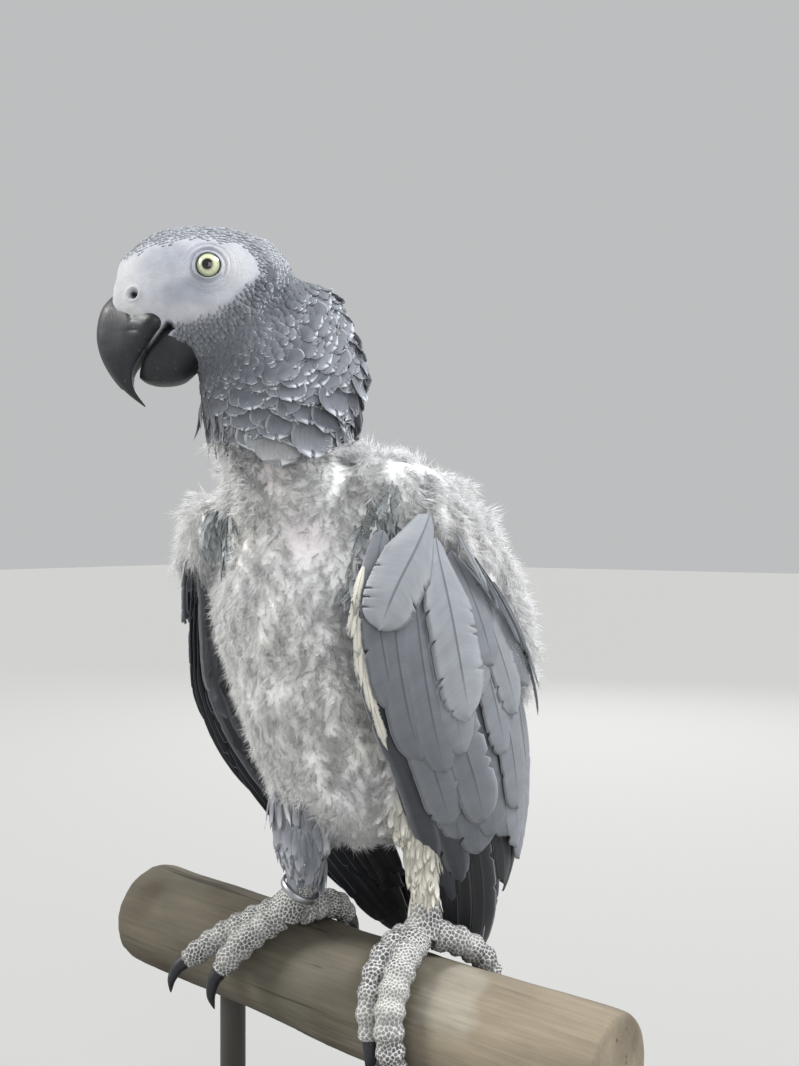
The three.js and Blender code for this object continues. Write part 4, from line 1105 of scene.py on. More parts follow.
vaneRow("left_coverts", left, feathersOf(slateVane, [
    (0.10, 0.04, 0.42, 0.05, 13, 2.2, "slate"), (0.12, 0.14, 0.50, 0.09, 15, 2.6, "slate"),
    (0.12, 0.26, 0.525, 0.2, 15, 3.0, "slate"), (0.12, 0.36, 0.50, 0.34, 14, 3.3, "ash"),
    (0.13, 0.46, 0.41, 0.54, 14, 3.4, "ash"), (0.13, 0.56, 0.36, 0.64, 13, 3.8, "ash"),
    (0.2, 0.56, 0.52, 0.66, 14, 2.8, "ash")])
    + feathersOf(paleVane, [
    (0.14, 0.6, 0.455, 0.78, 14, 3.8, "silver"), (0.14, 0.74, 0.41, 0.93, 10, 3.4, "ash")])
    + largeCoverts + feathersOf(wispVane, [
    (0.12, 0.6, 0.26, 0.74, 2.6, 5.2, "dark"), (0.13, 0.64, 0.31, 0.84, 2.4, 5.2, "slate"),
    (0.15, 0.7, 0.36, 0.93, 2.6, 5.0, "dark"), (0.20, 0.82, 0.41, 1.0, 2.2, 4.8, "ash"),
    (0.26, 0.90, 0.47, 1.01, 2.6, 4.0, "dark"), (0.10, 0.56, 0.22, 0.68, 3, 5.6, "silver"),
    (0.165, -0.03, 0.26, -0.07, 3.2, 2.0, "cream"), (0.20, -0.03, 0.30, -0.09, 3.4, 1.8, "cream"),
    (0.23, -0.04, 0.335, -0.07, 3, 1.6, "cream"), (0.27, -0.04, 0.37, -0.08, 3.4, 1.4, "cream"),
    (0.31, -0.04, 0.42, -0.06, 3, 1.2, "cream"), (0.35, -0.04, 0.475, -0.05, 3.2, 1.2, "cream")]),
    ("wing_left_coverts",), 300)

vaneRow("right_primaries", right, feathersOf({**blackVane, "sink": 2, "camber": 1.0}, [
    (0.05, 0.02, 0.50, -0.02, 8, 1.6, "black"), (0.07, 0.05, 0.66, -0.02, 9, 1.2, "black"),
    (0.10, 0.08, 0.80, 0.02, 10, 0.8, "black"), (0.22, 0.10, 0.90, 0.08, 11, 0.4, "black"),
    (0.34, 0.12, 0.97, 0.18, 12, 0.0, "black"), (0.38, 0.2, 1.0, 0.34, 12, -0.4, "black"),
    (0.41, 0.3, 1.0, 0.5, 12, -0.6, "black"), (0.43, 0.4, 1.0, 0.68, 12, -0.8, "black"),
    (0.46, 0.52, 0.98, 0.86, 12, -1.0, "black"), (0.48, 0.64, 0.95, 1.0, 12, -1.2, "black")]),
    ("wing_right_primaries",), 400)
vaneRow("right_secondaries", right, spreadRow(
    9, [(0.34, 0.16), (0.26, 0.9)], [(0.66, 0.16), (0.72, 0.45), (0.80, 0.97)], slateVane, 0.015, 8),
    ("wing_right_secondaries",), 500)
wingLining = {**slateVane, "sink": 0, "camber": -0.7, "splits": 3, "rows": 44}  # it faces the body
vaneRow("right_coverts", right, spreadRow(
    8, [(0.14, 0.10), (0.16, 0.88)], [(0.44, 0.10), (0.50, 0.5), (0.46, 0.96)],
    {**slateVane, "lift": 3.0, "tint": "ash"}, 0.015, 9)
    + spreadRow(9, [(0.05, 0.06), (0.08, 0.88)], [(0.25, 0.05), (0.29, 0.92)],
                {**paleVane, "width": 12, "lift": 4.2, "rows": 32}, 0.015, 10)
    + feathersOf(wingLining, [
    (0.06, 0.03, 0.42, 0.02, 5, -2.6, "silver"), (0.08, 0.10, 0.50, 0.08, 8, -3.0, "ash"),
    (0.10, 0.20, 0.57, 0.18, 9, -3.4, "ash"), (0.12, 0.32, 0.60, 0.31, 10, -3.8, "slate"),
    (0.30, 0.07, 0.68, 0.08, 8, -2.6, "slate"), (0.32, 0.18, 0.75, 0.22, 9, -2.8, "slate")]),
    ("wing_right_coverts",), 600)
redVane = {"tint": "red", "edge": "redDark", "base": "redDark", "width": 9, "lift": 0.4, "sink": 1, "rows": 44,
           "camber": 1.0}
vaneRow("red_tail", tail, spreadRow(
    10, [(0.0, 0.1), (0.0, 0.9)], [(0.96, 0.0), (1.0, 0.5), (0.95, 1.0)], redVane, 0.02, 12),
    ("tail",), 700)
print("wings and tail")

eyeSettings = {"rings": 28, "around": 48, "cornea": 0.35, "irisReach": 62}

def eyePiece(side, name):  # a ball with a raised cornea, mapped from the middle of the pupil outwards
    s = eyeSettings
    out = unit(leftward * side * 0.97 + ahead * 0.14)
    across = unit(np.cross(upward, out))
    over = np.cross(out, across)
    points, irisMap = [eyeCentre[side] + out * (eyeBall + s["cornea"])], [(0.0, 0.0)]
    for i in range(1, s["rings"]):
        angle = math.pi * i / s["rings"]
        height = eyeBall + s["cornea"] * math.exp(-(angle / 0.7) ** 2)
        middle = eyeCentre[side] + out * height * math.cos(angle)
        reach = eyeBall * math.sin(angle)
        for j in range(s["around"]):
            turn = 2 * math.pi * j / s["around"]
            points.append(middle + across * reach * math.cos(turn) + over * reach * math.sin(turn))
            irisMap.append((j / s["around"], min(angle / math.radians(s["irisReach"]), 1)))
    points.append(eyeCentre[side] - out * eyeBall)
    irisMap.append((0.0, 1.0))
    last = 1 + (s["rings"] - 2) * s["around"]
    beside = [(j, (j + 1) % s["around"]) for j in range(s["around"])]
    faces = [(0, 1 + j, 1 + k) for j, k in beside]
    for start in range(1, last, s["around"]):
        faces += [(start + j, start + j + s["around"], start + k + s["around"], start + k) for j, k in beside]
    faces += [(last + k, last + j, len(points) - 1) for j, k in beside]
    eye = meshObject("eye_ball_" + name, points, faces, eyeFinish)
    storeAttribute(eye.data, "iris", "FLOAT2", np.array(irisMap)[cornersOf(eye.data)], "CORNER")
    finishPiece(eye, ("eye_" + name,))

for side, name in ((1, "left"), (-1, "right")):
    eyePiece(side, name)

bill = {  # outer forward and up, inner forward and up, half width in front and at the back
    "upper": [[25.3, -1.5, 12.6, -5.0, 4.6, 9.0], [29.6, -6.5, 9.6, -12.4, 6.6, 14.7],
              [31.2, -13.5, 12.5, -15.8, 6.1, 13.0], [30.3, -20, 17.1, -20.8, 5.3, 9.0],
              [27.4, -26, 20.3, -25.4, 4.0, 5.2], [23.3, -31, 20.4, -30.2, 2.3, 2.6],
              [17.7, -35.4, 17.4, -35.1, 0.5, 0.5]],
    "lower": [[1.2, -23.5, 6.8, -12.6, 9.5, 13.2], [6.0, -28, 11.3, -13.3, 9.8, 12.8],
              [12, -29.3, 13.9, -16.1, 7.8, 10.4], [16.5, -28.6, 16.9, -20.4, 5.6, 7.2],
              [19.0, -27, 18.5, -24.2, 2.8, 3.6]],
    "crack": [(24.6, -5.2), (22.4, -7.2), (20.6, -9.8), (20.4, -12.6), (19.2, -15.2)],
    "hollow": 0.4, "around": 96, "flake": 0.45, "growth": 0.06, "ridge": 0.35,
}

def cleft(points, flake):  # beside the cere, with the rounded lobe behind it and a ridge down the front
    forward, up, left = headPlace(points)
    crack = toLine(forward, up, bill["crack"]) + 0.35 * hashNoise(points, 1.6, 21)
    on = ramp(np.abs(left), 2.5, 4.5)
    dent = -(0.45 + 1.5 * ramp(up, -12, -7)) * np.exp(-(crack / 0.6) ** 2) * on
    lobe = np.hypot((forward - 13.6) / 5.4, (up + 14.0) / 5.6)
    dent += 0.7 * (1 - ramp(lobe, 0.5, 1.0)) * on
    points = points + leftward * (np.sign(left) * dent)[:, None]
    ridge = bill["ridge"] * (1 - ramp(np.abs(left), 0, 1.6))
    points = points + ahead * ridge[:, None] * (forward > 24)[:, None]
    return points, np.maximum(flake, 0.9 * np.exp(-(crack / 0.3) ** 2) * on)

def billPiece(name, rows, replaced, steps):
    around = bill["around"]
    points, flake = [], []
    angle = 2 * np.pi * np.arange(around) / around
    cosine, sine = np.cos(angle), np.sin(angle)
    low = sine < 0
    for f1, u1, f2, u2, front, back in along(rows, np.linspace(0, 1, steps + 1)):
        x = np.sign(cosine) * np.abs(cosine) ** np.where(low, 0.5, 0.9)
        y = np.where(low, -np.abs(sine) ** 0.5, sine)
        wide = blend(back, front, ramp(y, -0.9, 0.75))
        y = np.where(low, y + bill["hollow"] * np.clip(1 - (np.abs(x) / 0.8) ** 2, 0, 1) * np.abs(y), y)
        middle, half = inHead((f1 + f2) / 2, (u1 + u2) / 2), ahead * (f1 - f2) / 2 + upward * (u1 - u2) / 2
        points.append(middle + half * y[:, None] + leftward * (x * wide)[:, None])
        flake.append(np.exp(-((y + 0.96) / 0.05) ** 2) * (np.abs(x) > 0.75) * bill["flake"])
    points, flake = np.vstack(points), np.concatenate(flake)
    forward, up, left = headPlace(points)
    side = np.sign(left)
    if name == "bill_top":
        points, flake = cleft(points, flake)
    growth = hashNoise(np.stack([up * 0.9, forward * 0.35, left * 0.1], 1), 1.5, 22)
    points = points + leftward * (side * bill["growth"] * growth)[:, None]
    made = meshObject(name, points, ringFaces(steps + 1, around), hornFinish)
    storeAttribute(made.data, "flake", "FLOAT", np.clip(flake, 0, 1))
    return finishPiece(facedOut(made), replaced)

billPiece("bill_top", bill["upper"], ("bill_upper",), 130)
billPiece("bill_under", bill["lower"], ("bill_lower",), 90)
print("eyes and bill")

legs = {
    "left": {
        "foot": [[23.6, 5.6, 122.6, 5], [24, 5, 117, 5.3], [23.5, 3, 112.6, 6.2]],
        "toes": [[[21, 8, 112, 4.6], [17, 13, 108.6, 4.2], [13, 18, 103, 3.4]],
                 [[21, -1, 112.6, 4.9], [20.8, -13, 108.4, 4.4], [22.4, -20.5, 99, 4], [24, -22, 89.5, 3.3]],
                 [[25, -1, 113, 5.2], [28.4, -12.5, 109.4, 4.8], [30.8, -21.5, 99, 4.5], [32.2, -22.7, 88, 4.2],
                  [33, -20.4, 80.4, 3.4]],
                 [[27, 6, 112.6, 4.9], [32, 12, 109.8, 4.5], [36, 18, 104.6, 4.2], [38.5, 21.4, 98, 3.3]]]},
    "right": {
        "foot": [[-12, -9.3, 128, 4.9], [-16.4, -11, 120.4, 4.8], [-20.4, -12.4, 114.6, 6]],
        "toes": [[[-18, -7, 113.6, 4.8], [-17, 1, 113.8, 4.6], [-17, 9, 111.6, 4.4], [-17.5, 15.5, 106.2, 3.4]],
                 [[-21, -13, 113.4, 5], [-26.5, -19, 108.6, 4.7], [-31.5, -24.5, 102, 4.4],
                  [-34.6, -27.4, 96.4, 3.4]],
                 [[-23, -11, 113.6, 5.2], [-31, -16.5, 110, 4.8], [-41, -23, 103.6, 4.4],
                  [-49.5, -28.4, 96.6, 3.4]],
                 [[-23, -6, 114.4, 4.8], [-26, 3, 114, 4.5], [-28.5, 10.5, 111, 4.2], [-30, 16.5, 105.8, 3.3]]]},
}
claw = {"radius": 0.72, "shape": [  # forth, drop and size along the claw
    [-2.5, -0.3, 1.0], [0, 0, 1.06], [4, 0.4, 0.86], [8, 2.4, 0.6], [10.4, 5.2, 0.2], [10.8, 6.0, 0.06]]}
pads = {"bulge": 0.1, "spacing": 5.6}
footSettings = {"voxel": 0.4, "scale": 1.02, "broad": 0.3, "raise": 0.26}

def padded(stations, seed):  # toe pads: gentle swellings along the toe
    rows = along(stations, np.linspace(0, 1, 50))
    distance = np.concatenate([[0], np.cumsum(np.linalg.norm(np.diff(rows[:, :3], axis=0), axis=1))])
    swell = pads["bulge"] * np.sin(2 * np.pi * distance / pads["spacing"] + seed) * ramp(distance, 0, 5)
    rows[:, 3] *= 1 + swell - 0.04
    return limb(rows.tolist(), 28, 60)

def scaleCells(points, seed):  # each point's nearest scale and its distance to that scale's edge
    kept, grid = [], {}
    spacing = footSettings["scale"] + footSettings["broad"] * hashNoise(points, 9, 34)
    for i in np.random.default_rng(seed).permutation(len(points)):
        p, near = points[i], spacing[i]
        a, b, c = (int(v) for v in p // 1.5)
        beside = [(x, y, z) for x in (a - 1, a, a + 1) for y in (b - 1, b, b + 1) for z in (c - 1, c, c + 1)]
        if not any((p[0] - q[0]) ** 2 + (p[1] - q[1]) ** 2 + (p[2] - q[2]) ** 2 < near * near
                   for cell in beside for q in grid.get(cell, ())):
            kept.append(p)
            grid.setdefault((a, b, c), []).append(p)
    tree = treeOf(kept)
    found = [tree.find_n(p, 2) for p in points]
    return np.array([f[0][1] for f in found]), np.array([f[1][2] - f[0][2] for f in found]) / 2

def footPiece(side, foot):
    shapes = [limb(foot["foot"], 36, 40)] + [padded(toe, k * 1.7) for k, toe in enumerate(foot["toes"])]
    sole = remeshed("foot_skin_" + side, shapes, footSettings["voxel"])
    points = eased(pointsOf(sole.data), edgesOf(sole.data), 14)
    setPoints(sole.data, points)
    ids, rim = scaleCells(points, 3)
    plate = ramp(rim, 0.03, 0.3)
    points = points + normalsOf(sole.data) * (footSettings["raise"] * (plate - 0.5))[:, None]
    setPoints(sole.data, points)
    tones = np.random.default_rng(5).random(ids.max() + 1)[ids]
    for key, values in (("rim", rim), ("tone", tones), ("worn", 0.5 + 0.5 * hashNoise(points, 6, 32))):
        storeAttribute(sole.data, key, "FLOAT", values)
    print("foot", side, len(points), "points")
    sole.data.materials.clear()
    sole.data.materials.append(scaleFinish)
    finishPiece(sole, ("foot_" + side,))

def clawPiece(name, toe, replaced):  # it goes on from the toe's end and bends down
    before, end = (np.array(station[:3], float) for station in toe[-2:])
    run = unit(end - before)
    bend = unit(-upward + run * run[2])
    radius = toe[-1][3] * claw["radius"]
    rows = [[*(end + run * forth + bend * drop), radius * size] for forth, drop, size in claw["shape"]]
    nail = meshObject(name, *limb(rows, 24, 36, facing=tuple(bend)), hornFinish)
    storeAttribute(nail.data, "flake", "FLOAT", np.zeros(len(nail.data.vertices)))
    finishPiece(facedOut(nail), (replaced,))

for side, foot in legs.items():
    footPiece(side, foot)
    for k, toe in enumerate(foot["toes"]):
        clawPiece(f"nail_{side}_{k + 1}", toe, f"claw_{side}_{k + 1}")

ring = {"radius": 6.7, "band": 2.0, "thick": 0.8, "along": 0.72, "soften": 0.18, "around": 72,
        "from": (-12, -9.3, 128), "to": (-16.4, -11, 120.4)}

def legRing():
    a, b = np.array(ring["from"], float), np.array(ring["to"], float)
    axis, centre = unit(b - a), a + (b - a) * ring["along"]
    one = unit(np.cross(axis, [1, 0, 0]))
    two = np.cross(axis, one)
    h, s, outer = ring["band"] / 2, ring["soften"], ring["radius"]
    inner = outer - ring["thick"]
    outline = [(inner, s - h), (inner + s, -h), (outer - s, -h), (outer, s - h),
               (outer, h - s), (outer - s, h), (inner + s, h), (inner, h - s)]
    points = []
    for k in range(ring["around"]):
        angle = 2 * math.pi * k / ring["around"]
        away = one * math.cos(angle) + two * math.sin(angle)
        points += [centre + away * reach + axis * lift for reach, lift in outline]
    faces = ringFaces(ring["around"] + 1, len(outline), False)
    faces = [tuple(corner % len(points) for corner in face) for face in faces]  # the last ring is the first again
    made = facedOut(meshObject("band_on_leg", points, faces, metalFinish))
    return finishPiece(made, ("leg_ring",))

legRing()
print("feet, claws and ring")

branch = {"radius": 18, "height": 89.5, "ends": (-101, 92), "around": 220, "steps": 300, "grain": 0.45,
          "bow": 4, "bowLength": 45, "sawn": 0.35, "sawnRings": (0.93, 0.75, 0.5, 0.25)}
# painted shade: these tints are about a fifth darker than the wood's own colour, for the shade the branch lies in
shadedBarkTints = palette({"grey": "857f70", "brown": "655b4b", "pale": "ad9f88", "chalk": "c4bfb0"})

def branchHeight(x):  # its middle line, which drops a little to the left end
    return branch["height"] + branch["bow"] * (1 - np.exp(np.minimum(0, x + 4) / branch["bowLength"]))

def barkMarkings(points):  # grey, brown to the left, worn pale to the right, with a splash of droppings
    tone = np.repeat(shadedBarkTints["grey"][None], len(points), 0)
    brown = 0.5 * ramp(hashNoise(points, 13, 45), -0.3, 0.8) + 0.4 * ramp(-points[:, 0], 10, 60)
    tone = tone + (shadedBarkTints["brown"] - tone) * brown[:, None].clip(0, 1)
    pale = 0.75 * ramp(points[:, 0] + 5 * hashNoise(points, 8, 46), 20, 60)
    tone = tone + (shadedBarkTints["pale"] - tone) * pale[:, None]
    splash = np.hypot(points[:, 0] - 45, (points[:, 1] + 9) * 0.7) + 4 * hashNoise(points, 4, 47)
    splash = (1 - ramp(splash, 6, 12)) * ramp(points[:, 2], 92, 100)
    return opaque(tone + (shadedBarkTints["chalk"] - tone) * (0.55 * splash)[:, None])

def branchPiece():
    around, steps = branch["around"], branch["steps"]
    x0, x1 = branch["ends"]
    angle = 2 * np.pi * np.arange(around) / around
    X, A = np.meshgrid(np.linspace(x0, x1, steps + 1), angle, indexing="ij")
    cosine, sine = np.cos(A), np.sin(A)
    flat = np.stack([X.ravel() * 0.12, cosine.ravel() * 18, sine.ravel() * 18], 1)
    grain = hashNoise(flat, 1.1, 41) * 0.5 + hashNoise(flat, 2.6, 42) * 0.7
    swells = hashNoise(np.stack([X.ravel(), cosine.ravel() * 18, sine.ravel() * 18], 1), 24, 43)
    checks = np.maximum(hashNoise(flat * [0.6, 1, 1], 4.2, 44) - 0.55, 0) * -2.2
    reach = branch["radius"] - 0.25 + branch["grain"] * (grain + checks).reshape(X.shape) * 0.6
    reach += 0.5 * swells.reshape(X.shape)
    reach *= 1 - 0.03 * (np.exp(-(X - x0) / 1.2) + np.exp(-(x1 - X) / 1.2))
    points = np.stack([X, cosine * reach, branchHeight(X) + sine * reach], 2).reshape(-1, 3)
    faces = ringFaces(steps + 1, around, False)
    start, extra = len(points), []
    for first, bulge in ((0, -branch["sawn"]), (steps * around, branch["sawn"])):  # the sawn ends, in rings
        rim = points[first:first + around]
        middle = rim.mean(0)
        previous = list(range(first, first + around))
        for share2 in branch["sawnRings"]:
            index = list(range(start + len(extra), start + len(extra) + around))
            inward = np.array([bulge * (1 if share2 < 0.9 else 0.6), 0, 0])
            extra += (middle + (rim - middle) * share2 + inward).tolist()
            faces += [(previous[j], previous[j - around + 1], index[j - around + 1], index[j])
                      for j in range(around)]
            previous = index
        extra.append((middle + np.array([bulge, 0, 0])).tolist())
        hub = start + len(extra) - 1
        faces += [(previous[j], previous[j - around + 1], hub) for j in range(around)]
    points = np.vstack([points, np.array(extra)])
    made = facedOut(meshObject("cut_branch", points, faces, barkFinish))
    storeAttribute(made.data, "marking", "FLOAT_COLOR", barkMarkings(points))
    return finishPiece(made, ("perch",))

branchPiece()

stand = {"width": 176, "depth": 132, "thick": 12, "corner": 14, "soften": 1.6, "foot": 0.6,
         "rodRadius": 4.5, "rods": (-58, 54), "rodFrom": 12.0, "rodInBranch": 6}

def middleOf(node):  # where a solid stands, seen from above
    low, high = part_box(node)
    return [(low[i] + high[i]) / 2 / mm for i in (0, 1)]

def boardShape():  # a board with round corners and a softened upper edge
    s = stand
    half = np.array([s["width"], s["depth"]]) / 2
    outline = []
    for cx, cy, first in ((1, 1, 0), (-1, 1, 90), (-1, -1, 180), (1, -1, 270)):
        for k in range(13):
            angle = math.radians(first + 7.5 * k)
            outline.append((cx * (half[0] - s["corner"]) + math.cos(angle) * s["corner"],
                            cy * (half[1] - s["corner"]) + math.sin(angle) * s["corner"]))
    profile = [(s["foot"], 0), (0, s["foot"]), (0, s["thick"] - s["soften"])]
    for angle in (22, 45, 67, 90):
        profile.append((s["soften"] * (1 - math.cos(math.radians(angle))),
                        s["thick"] - s["soften"] + s["soften"] * math.sin(math.radians(angle))))
    rings = [np.hstack([np.array(outline) * ((half - inset) / half) + middleOf("stand_base"),
                        np.full((len(outline), 1), z)]) for inset, z in profile]
    return np.vstack(rings), ringFaces(len(rings), len(outline))

def standPart(name, node, shape):
    return finishPiece(facedOut(meshObject(name, *shape, standFinish)), (node,))

standPart("stand_board", "stand_base", boardShape())
for name, x in zip(("a", "b"), stand["rods"]):
    heights = (stand["rodFrom"], 40, branchHeight(x) - stand["rodInBranch"])
    rows = [[*middleOf("stand_rod_" + name), z, stand["rodRadius"]] for z in heights]
    standPart("painted_rod_" + name, "stand_rod_" + name, limb(rows, 48, 12))
print("branch and stand")

def nearCloud(points, cloud, reach):
    tree = treeOf(cloud)
    return np.array([tree.find(p)[2] for p in points]) < reach

def nearWing(wing, tRange, wRange, reach):  # True where the skin lies under the vanes
    t, w = np.meshgrid(np.linspace(*tRange, 26), np.linspace(*wRange, 12))
    return nearCloud(skinPoints, wingPlace(wing, t.ravel(), w.ravel()), reach)

def nearLines(lines, reach):
    reach = reach + 1.5 * hashNoise(skinPoints, 5, 63)
    return np.any([nearCloud(skinPoints, along(line, np.linspace(0, 1, 30)), reach) for line in lines], axis=0)

z = skinPoints[:, 2]
covered = nearWing(left, (0.2, 0.62), (0.15, 0.75), 9) | nearWing(right, (0.18, 0.6), (0.15, 0.75), 9)
front = ramp(axisAt(z)[:, 1] - skinPoints[:, 1], -8, 8)
shoulders = shoulderShare(skinPoints) > 0.5
# the fluffiest tufts: beside the throat, under it, and along the top of the left wing's arm; their down is painted
# whiter, partly its own colour and partly painted light for the sun that falls there
collarLines = [[[-25, -32, 266], [-25, -35, 259], [-24, -36, 252]],
               [[-17, -42, 262], [-13, -41, 254], [-9, -39, 247]],
               [[9, -19, 266], [12, -11, 265], [19, 3, 260], [27, 13, 252], [33, 20, 240]]]
collar = nearLines(collarLines, 6.5) & ~shoulders

downCover = (1 - share["neck"]) * (1 - share["legs"]) * ~covered * ~shoulders
thin = np.linalg.norm((skinPoints - [8, -37, 238]) / [7, 12, 8], axis=1)  # the breast's thinnest place
downCover *= 1 - 0.75 * (1 - ramp(thin, 0.5, 1.2))
# painted light: along the neck's foot, on the wing arms and on the collar the down is pushed towards pure white,
# partly its own whiteness and partly a painted pool of sunlight; the same share makes these tufts larger
fluffAndPaintedLight = np.maximum(0.6 * (1 - ramp(np.abs(z - 262 - 3 * lumps(skinPoints)), 4, 13)), 0.7 * share["arms"])
fluffAndPaintedLight = np.maximum(fluffAndPaintedLight, collar)
downSize = (6.8 + 1.3 * lumps(skinPoints)) * (1 - 0.35 * share["legs"]) * (1 + 0.25 * fluffAndPaintedLight)
downTintAndPaintedLight = tint + (np.array(colour("ffffff")) - tint) * (0.8 * fluffAndPaintedLight)[:, None]
downTuft = {"barbs": 30, "spread": 1.05, "barb": 0.56, "width": 0.021, "sway": 0.3, "rise": 0.1, "lift": 0.08}
downSettings = {"Pitch": 0.13, "Pitch Spread": 0.26, "Yaw Spread": 0.8, "Size Spread": 0.3, "Spacing": 1.9}
sparser = {"Spacing": 2.05}
breast = downCover * (1 - share["arms"]) * ~collar
downTemplates = templateSet("down_tufts", plume, range(60, 68), downTuft)
for name, seed, cover, size, more in (
        ("down_breast", 1, breast * front * (z > 205), 1.0, {}),
        ("down_belly", 2, breast * front * (z <= 205) * (z > 170), 1.0, {}),
        ("down_vent", 15, breast * front * (z <= 170), 1.0, {}),
        ("down_back", 3, breast * (1 - front) * (z > 200), 1.0, sparser),
        ("down_loin", 16, breast * (1 - front) * (z <= 200) * (z > 168), 1.0, sparser),
        ("down_rump", 4, breast * (1 - front) * (z <= 168), 1.0, sparser),
        ("down_collar", 10, downCover * collar, 1.1, {"Pitch": 0.7, "Pitch Spread": 0.4, "Spacing": 1.7}),
        ("down_shoulders", 9, downCover * share["arms"] * ~collar, 1.1, {"Pitch": 0.2})):
    growCoat(name, {**downSettings, "Seed": seed, **more}, cover, downSize * size, downTemplates, downFinish,
             downTintAndPaintedLight)
dropTemplates(downTemplates)

reach = fromFace(skinPoints)[1]  # the further from the face, the larger the feathers
sizes = ([-10, 10, 18, 24, 29, 34, 40, 46, 55, 75], [1.7, 2.0, 2.1, 2.5, 3.1, 4.3, 6.6, 9.0, 12.5, 16])
depthIn = faceDepth(skinPoints)
headCover = share["neck"] * (1 - ramp(depthIn, -0.9, 0.6)) * (1 - mouthMask(skinPoints))
small = {"rows": 5, "columns": 4, "width": 0.75, "ragged": 0.05, "cup": 0.1, "curl": 0.06, "sag": 0.12,
         "thick": 0.08}
middling = {**small, "rows": 7, "columns": 6, "width": 0.9, "ragged": 0.04, "curl": 0.12, "thick": 0.06}
large = {**middling, "rows": 10, "columns": 11, "width": 1.12, "ragged": 0.045, "cup": 0.09, "curl": 0.16,
         "thick": 0.04}
strand = {**middling, "width": 0.16, "ragged": 0.12, "thick": 0.03}
patchVane = {**middling, "width": 0.32, "ragged": 0.14, "curl": 0.03, "cup": 0.05, "thick": 0.03}
legVane = {**middling, "width": 0.3, "ragged": 0.08, "curl": 0.02, "cup": 0.05, "thick": 0.03}

crownSettings = {"Spacing": 1.05, "Pitch": 0.13, "Pitch Spread": 0.06, "Yaw Spread": 0.16, "Size Spread": 0.12,
                 "Seed": 5}
crownSize = 1.15 * np.interp(reach, *sizes) * (0.6 + 0.4 * ramp(-depthIn, 0, 5))
vanes = templateSet("crown_vanes", petal, range(70, 74), small)
growCoat("crown_feathers", crownSettings, headCover * (1 - ramp(reach, 27, 31)), crownSize, vanes, contourFinish)
dropTemplates(vanes)

for name, look, rows, settings in (
        ("nape_feathers", middling, {"from": 24, "to": 38, "step": 0.36, "apart": 0.62, "tries": 30, "seed": 6},
         {"Pitch": 0.13}),
        ("ruff_feathers", large, {"from": 38, "to": 62, "step": 0.27, "apart": 0.62, "tries": 16, "seed": 7},
         {"Pitch": 0.2, "Pitch Spread": 0.09}),
        ("hem_feathers", {**large, "width": 0.58, "ragged": 0.1, "curl": 0.14},
         {"from": 58, "to": 125, "step": 0.24, "apart": 0.5, "tries": 16, "seed": 14},
         {"Pitch": 0.16, "Pitch Spread": 0.14, "Yaw Spread": 0.2})):
    vanes = templateSet(name + "_set", petal, range(80, 85), look)
    roots, lengths = rowRoots(name, headCover, sizes, rows)
    settings = {"Pitch Spread": 0.05, "Yaw Spread": 0.1, "Size Spread": 0.1, "Seed": rows["seed"], **settings}
    growCoat(name, settings, None, lengths, vanes, contourFinish, None, roots)
    dropTemplates(vanes)

# across the view, from the middle of what it is aimed at
throatEdge = (skinPoints - view["target"] * np.array([1, 1, 0])) @ [0.788, 0.616, 0]
strandCover = share["neck"] * (1 - ramp(z, 274, 283)) * front * (1 - ramp(throatEdge, -53, -47))
paleStrands = ramp(hashNoise(skinPoints, 3, 61), -0.4, 0.6)[:, None]
strandTint = tint + (np.array(colour("c2c3c3")) - tint) * paleStrands * 0.8
onRight = (skinPoints[:, 0] < 0)[:, None]  # the right shoulder's patch is the smoother and paler one
pattern = ramp(hashNoise(skinPoints, 3.2, 62), -0.4, 0.5)[:, None]
patchTint = (np.where(onRight, colour("a2a8aa"), colour("9da2a5")) * (1 - pattern)
             + np.where(onRight, colour("b9bebe"), colour("d2d6d7")) * pattern)
for setName, look, seeds, name, settings, cover, size, tints in (
        ("throat_strands_set", strand, range(100, 105), "throat_strands",
         {"Spacing": 2.0, "Pitch": 0.2, "Pitch Spread": 0.2, "Yaw Spread": 0.35, "Size Spread": 0.25, "Seed": 11},
         strandCover, 10.5, strandTint),
        ("shoulder_vanes", patchVane, range(110, 115), "shoulder_feathers",
         {"Spacing": 1.5, "Pitch": 0.14, "Pitch Spread": 0.12, "Yaw Spread": 0.55, "Size Spread": 0.3, "Seed": 12},
         shoulders * (1 - share["neck"]), 6.4, patchTint)):
    vanes = templateSet(setName, petal, seeds, look)
    growCoat(name, settings, cover, np.full(len(z), size), vanes, contourFinish, tints)
    dropTemplates(vanes)

legSettings = {"Spacing": 1.5, "Pitch": 0.12, "Pitch Spread": 0.07, "Yaw Spread": 0.14, "Size Spread": 0.2}
upright = np.abs(skinNormals[:, 2]) < 0.45
vanes = templateSet("trouser_vanes", petal, range(95, 99), legVane)
for name, side, seed, lowest, size, slot in (("trouser_feathers", -1, 8, 122, 11.0, "grey_feathers"),
                                             ("cream_trouser", 1, 13, 118, 9.0, "down")):
    growCoat(name, {**legSettings, "Seed": seed}, legShare(skinPoints, side) * (z > lowest) * upright,
             np.full(len(z), size), vanes, trouserFinish)
dropTemplates(vanes)

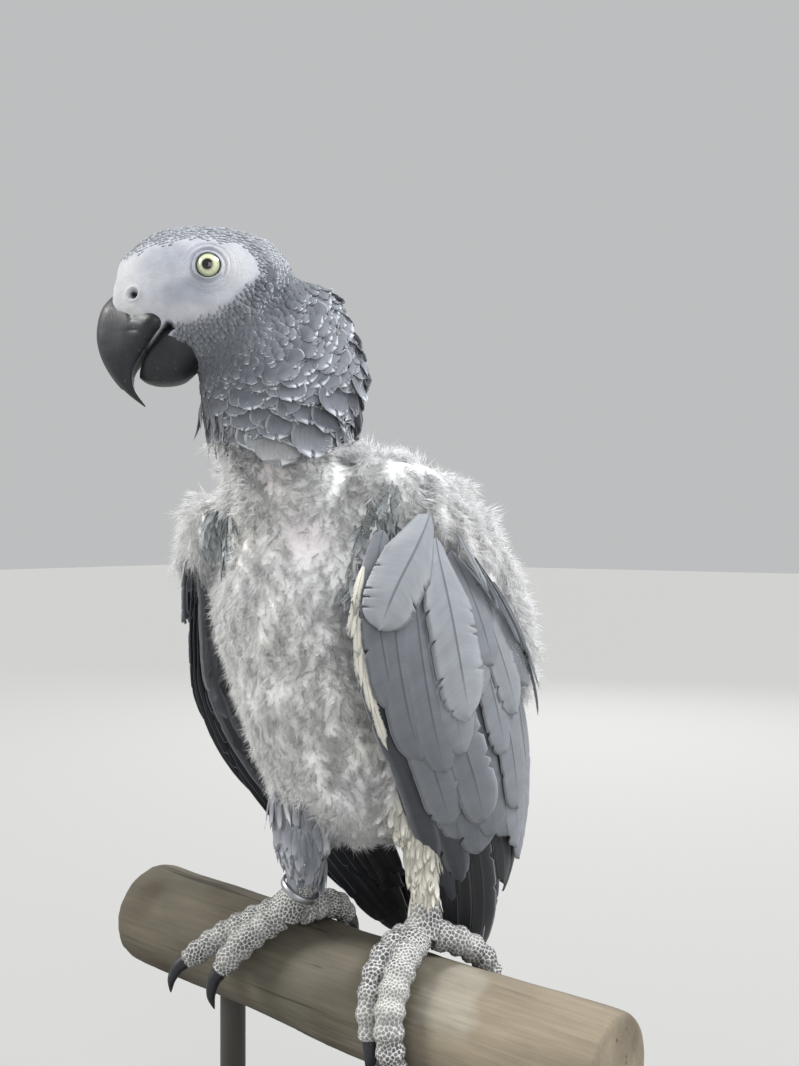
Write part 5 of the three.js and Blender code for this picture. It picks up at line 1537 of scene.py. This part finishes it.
for spare in ("lie", "wrap", "out"):
    skin.data.attributes.remove(skin.data.attributes[spare])
skin.data.materials.append(skinFinish)
finishPiece(skin, ("head", "neck", "trunk", "thigh_left", "thigh_right", "wing_left_arm", "wing_right_arm"))
print("coat")

# floor, light and camera
room = {"floor": 6.0, "sky": "eaebec", "skyStrength": 0.62, "aim": (0, 0, 0.22)}

def stagePiece():
    size = room["floor"]
    corners = [(-size, -size, 0), (size, -size, 0), (size, size, 0), (-size, size, 0)]
    floor = meshObject("studio_floor", np.array(corners) / mm, [(0, 1, 2, 3)],
                       finish("matt_floor", {"Base Color": colour("9c9c9a"), "Roughness": 0.9}))

stagePiece()
world = bpy.data.worlds.new("studio")
bpy.context.scene.world = world
world.use_nodes = True
background = world.node_tree.nodes["Background"].inputs
background[0].default_value = colour(room["sky"])
background[1].default_value = room["skyStrength"]

def lamp(name, kind, place, settings, tint="ffffff"):  # aimed at the middle of the bird
    data = bpy.data.lights.new(name, kind)
    data.color = colour(tint)[:3]
    for key, value in settings.items():
        setattr(data, key, value)
    made = inScene(name, data)
    made.location = Vector(place)
    made.rotation_euler = (Vector(room["aim"]) - Vector(place)).to_track_quat("-Z", "Y").to_euler()

lamp("window", "SUN", (-0.76, -0.64, 0.86), {"energy": 2.8, "angle": math.radians(22)}, "fffefb")
lamp("skylight", "SUN", (0.6, 0.36, 1.15), {"energy": 3.4, "angle": math.radians(30)}, "fbfcff")
lamp("room", "AREA", (1.1, -0.7, 0.5), {"energy": 6, "size": 0.9}, "f6f8fb")
lamp("back", "AREA", (-0.5, 1.0, 0.7), {"energy": 5, "size": 0.7})

cameraData = bpy.data.cameras.new("camera")
cameraData.lens = view["lens"]
cameraData.clip_start = 0.01
camera = inScene("camera", cameraData)
turn = math.radians(view["azimuth"])
camera.location = (view["target"] + np.array([math.sin(turn), -math.cos(turn), 0]) * view["distance"]) * mm
camera.rotation_euler = (math.radians(90), 0, turn)
bpy.context.scene.camera = camera
bpy.context.scene.view_settings.view_transform = "Standard"
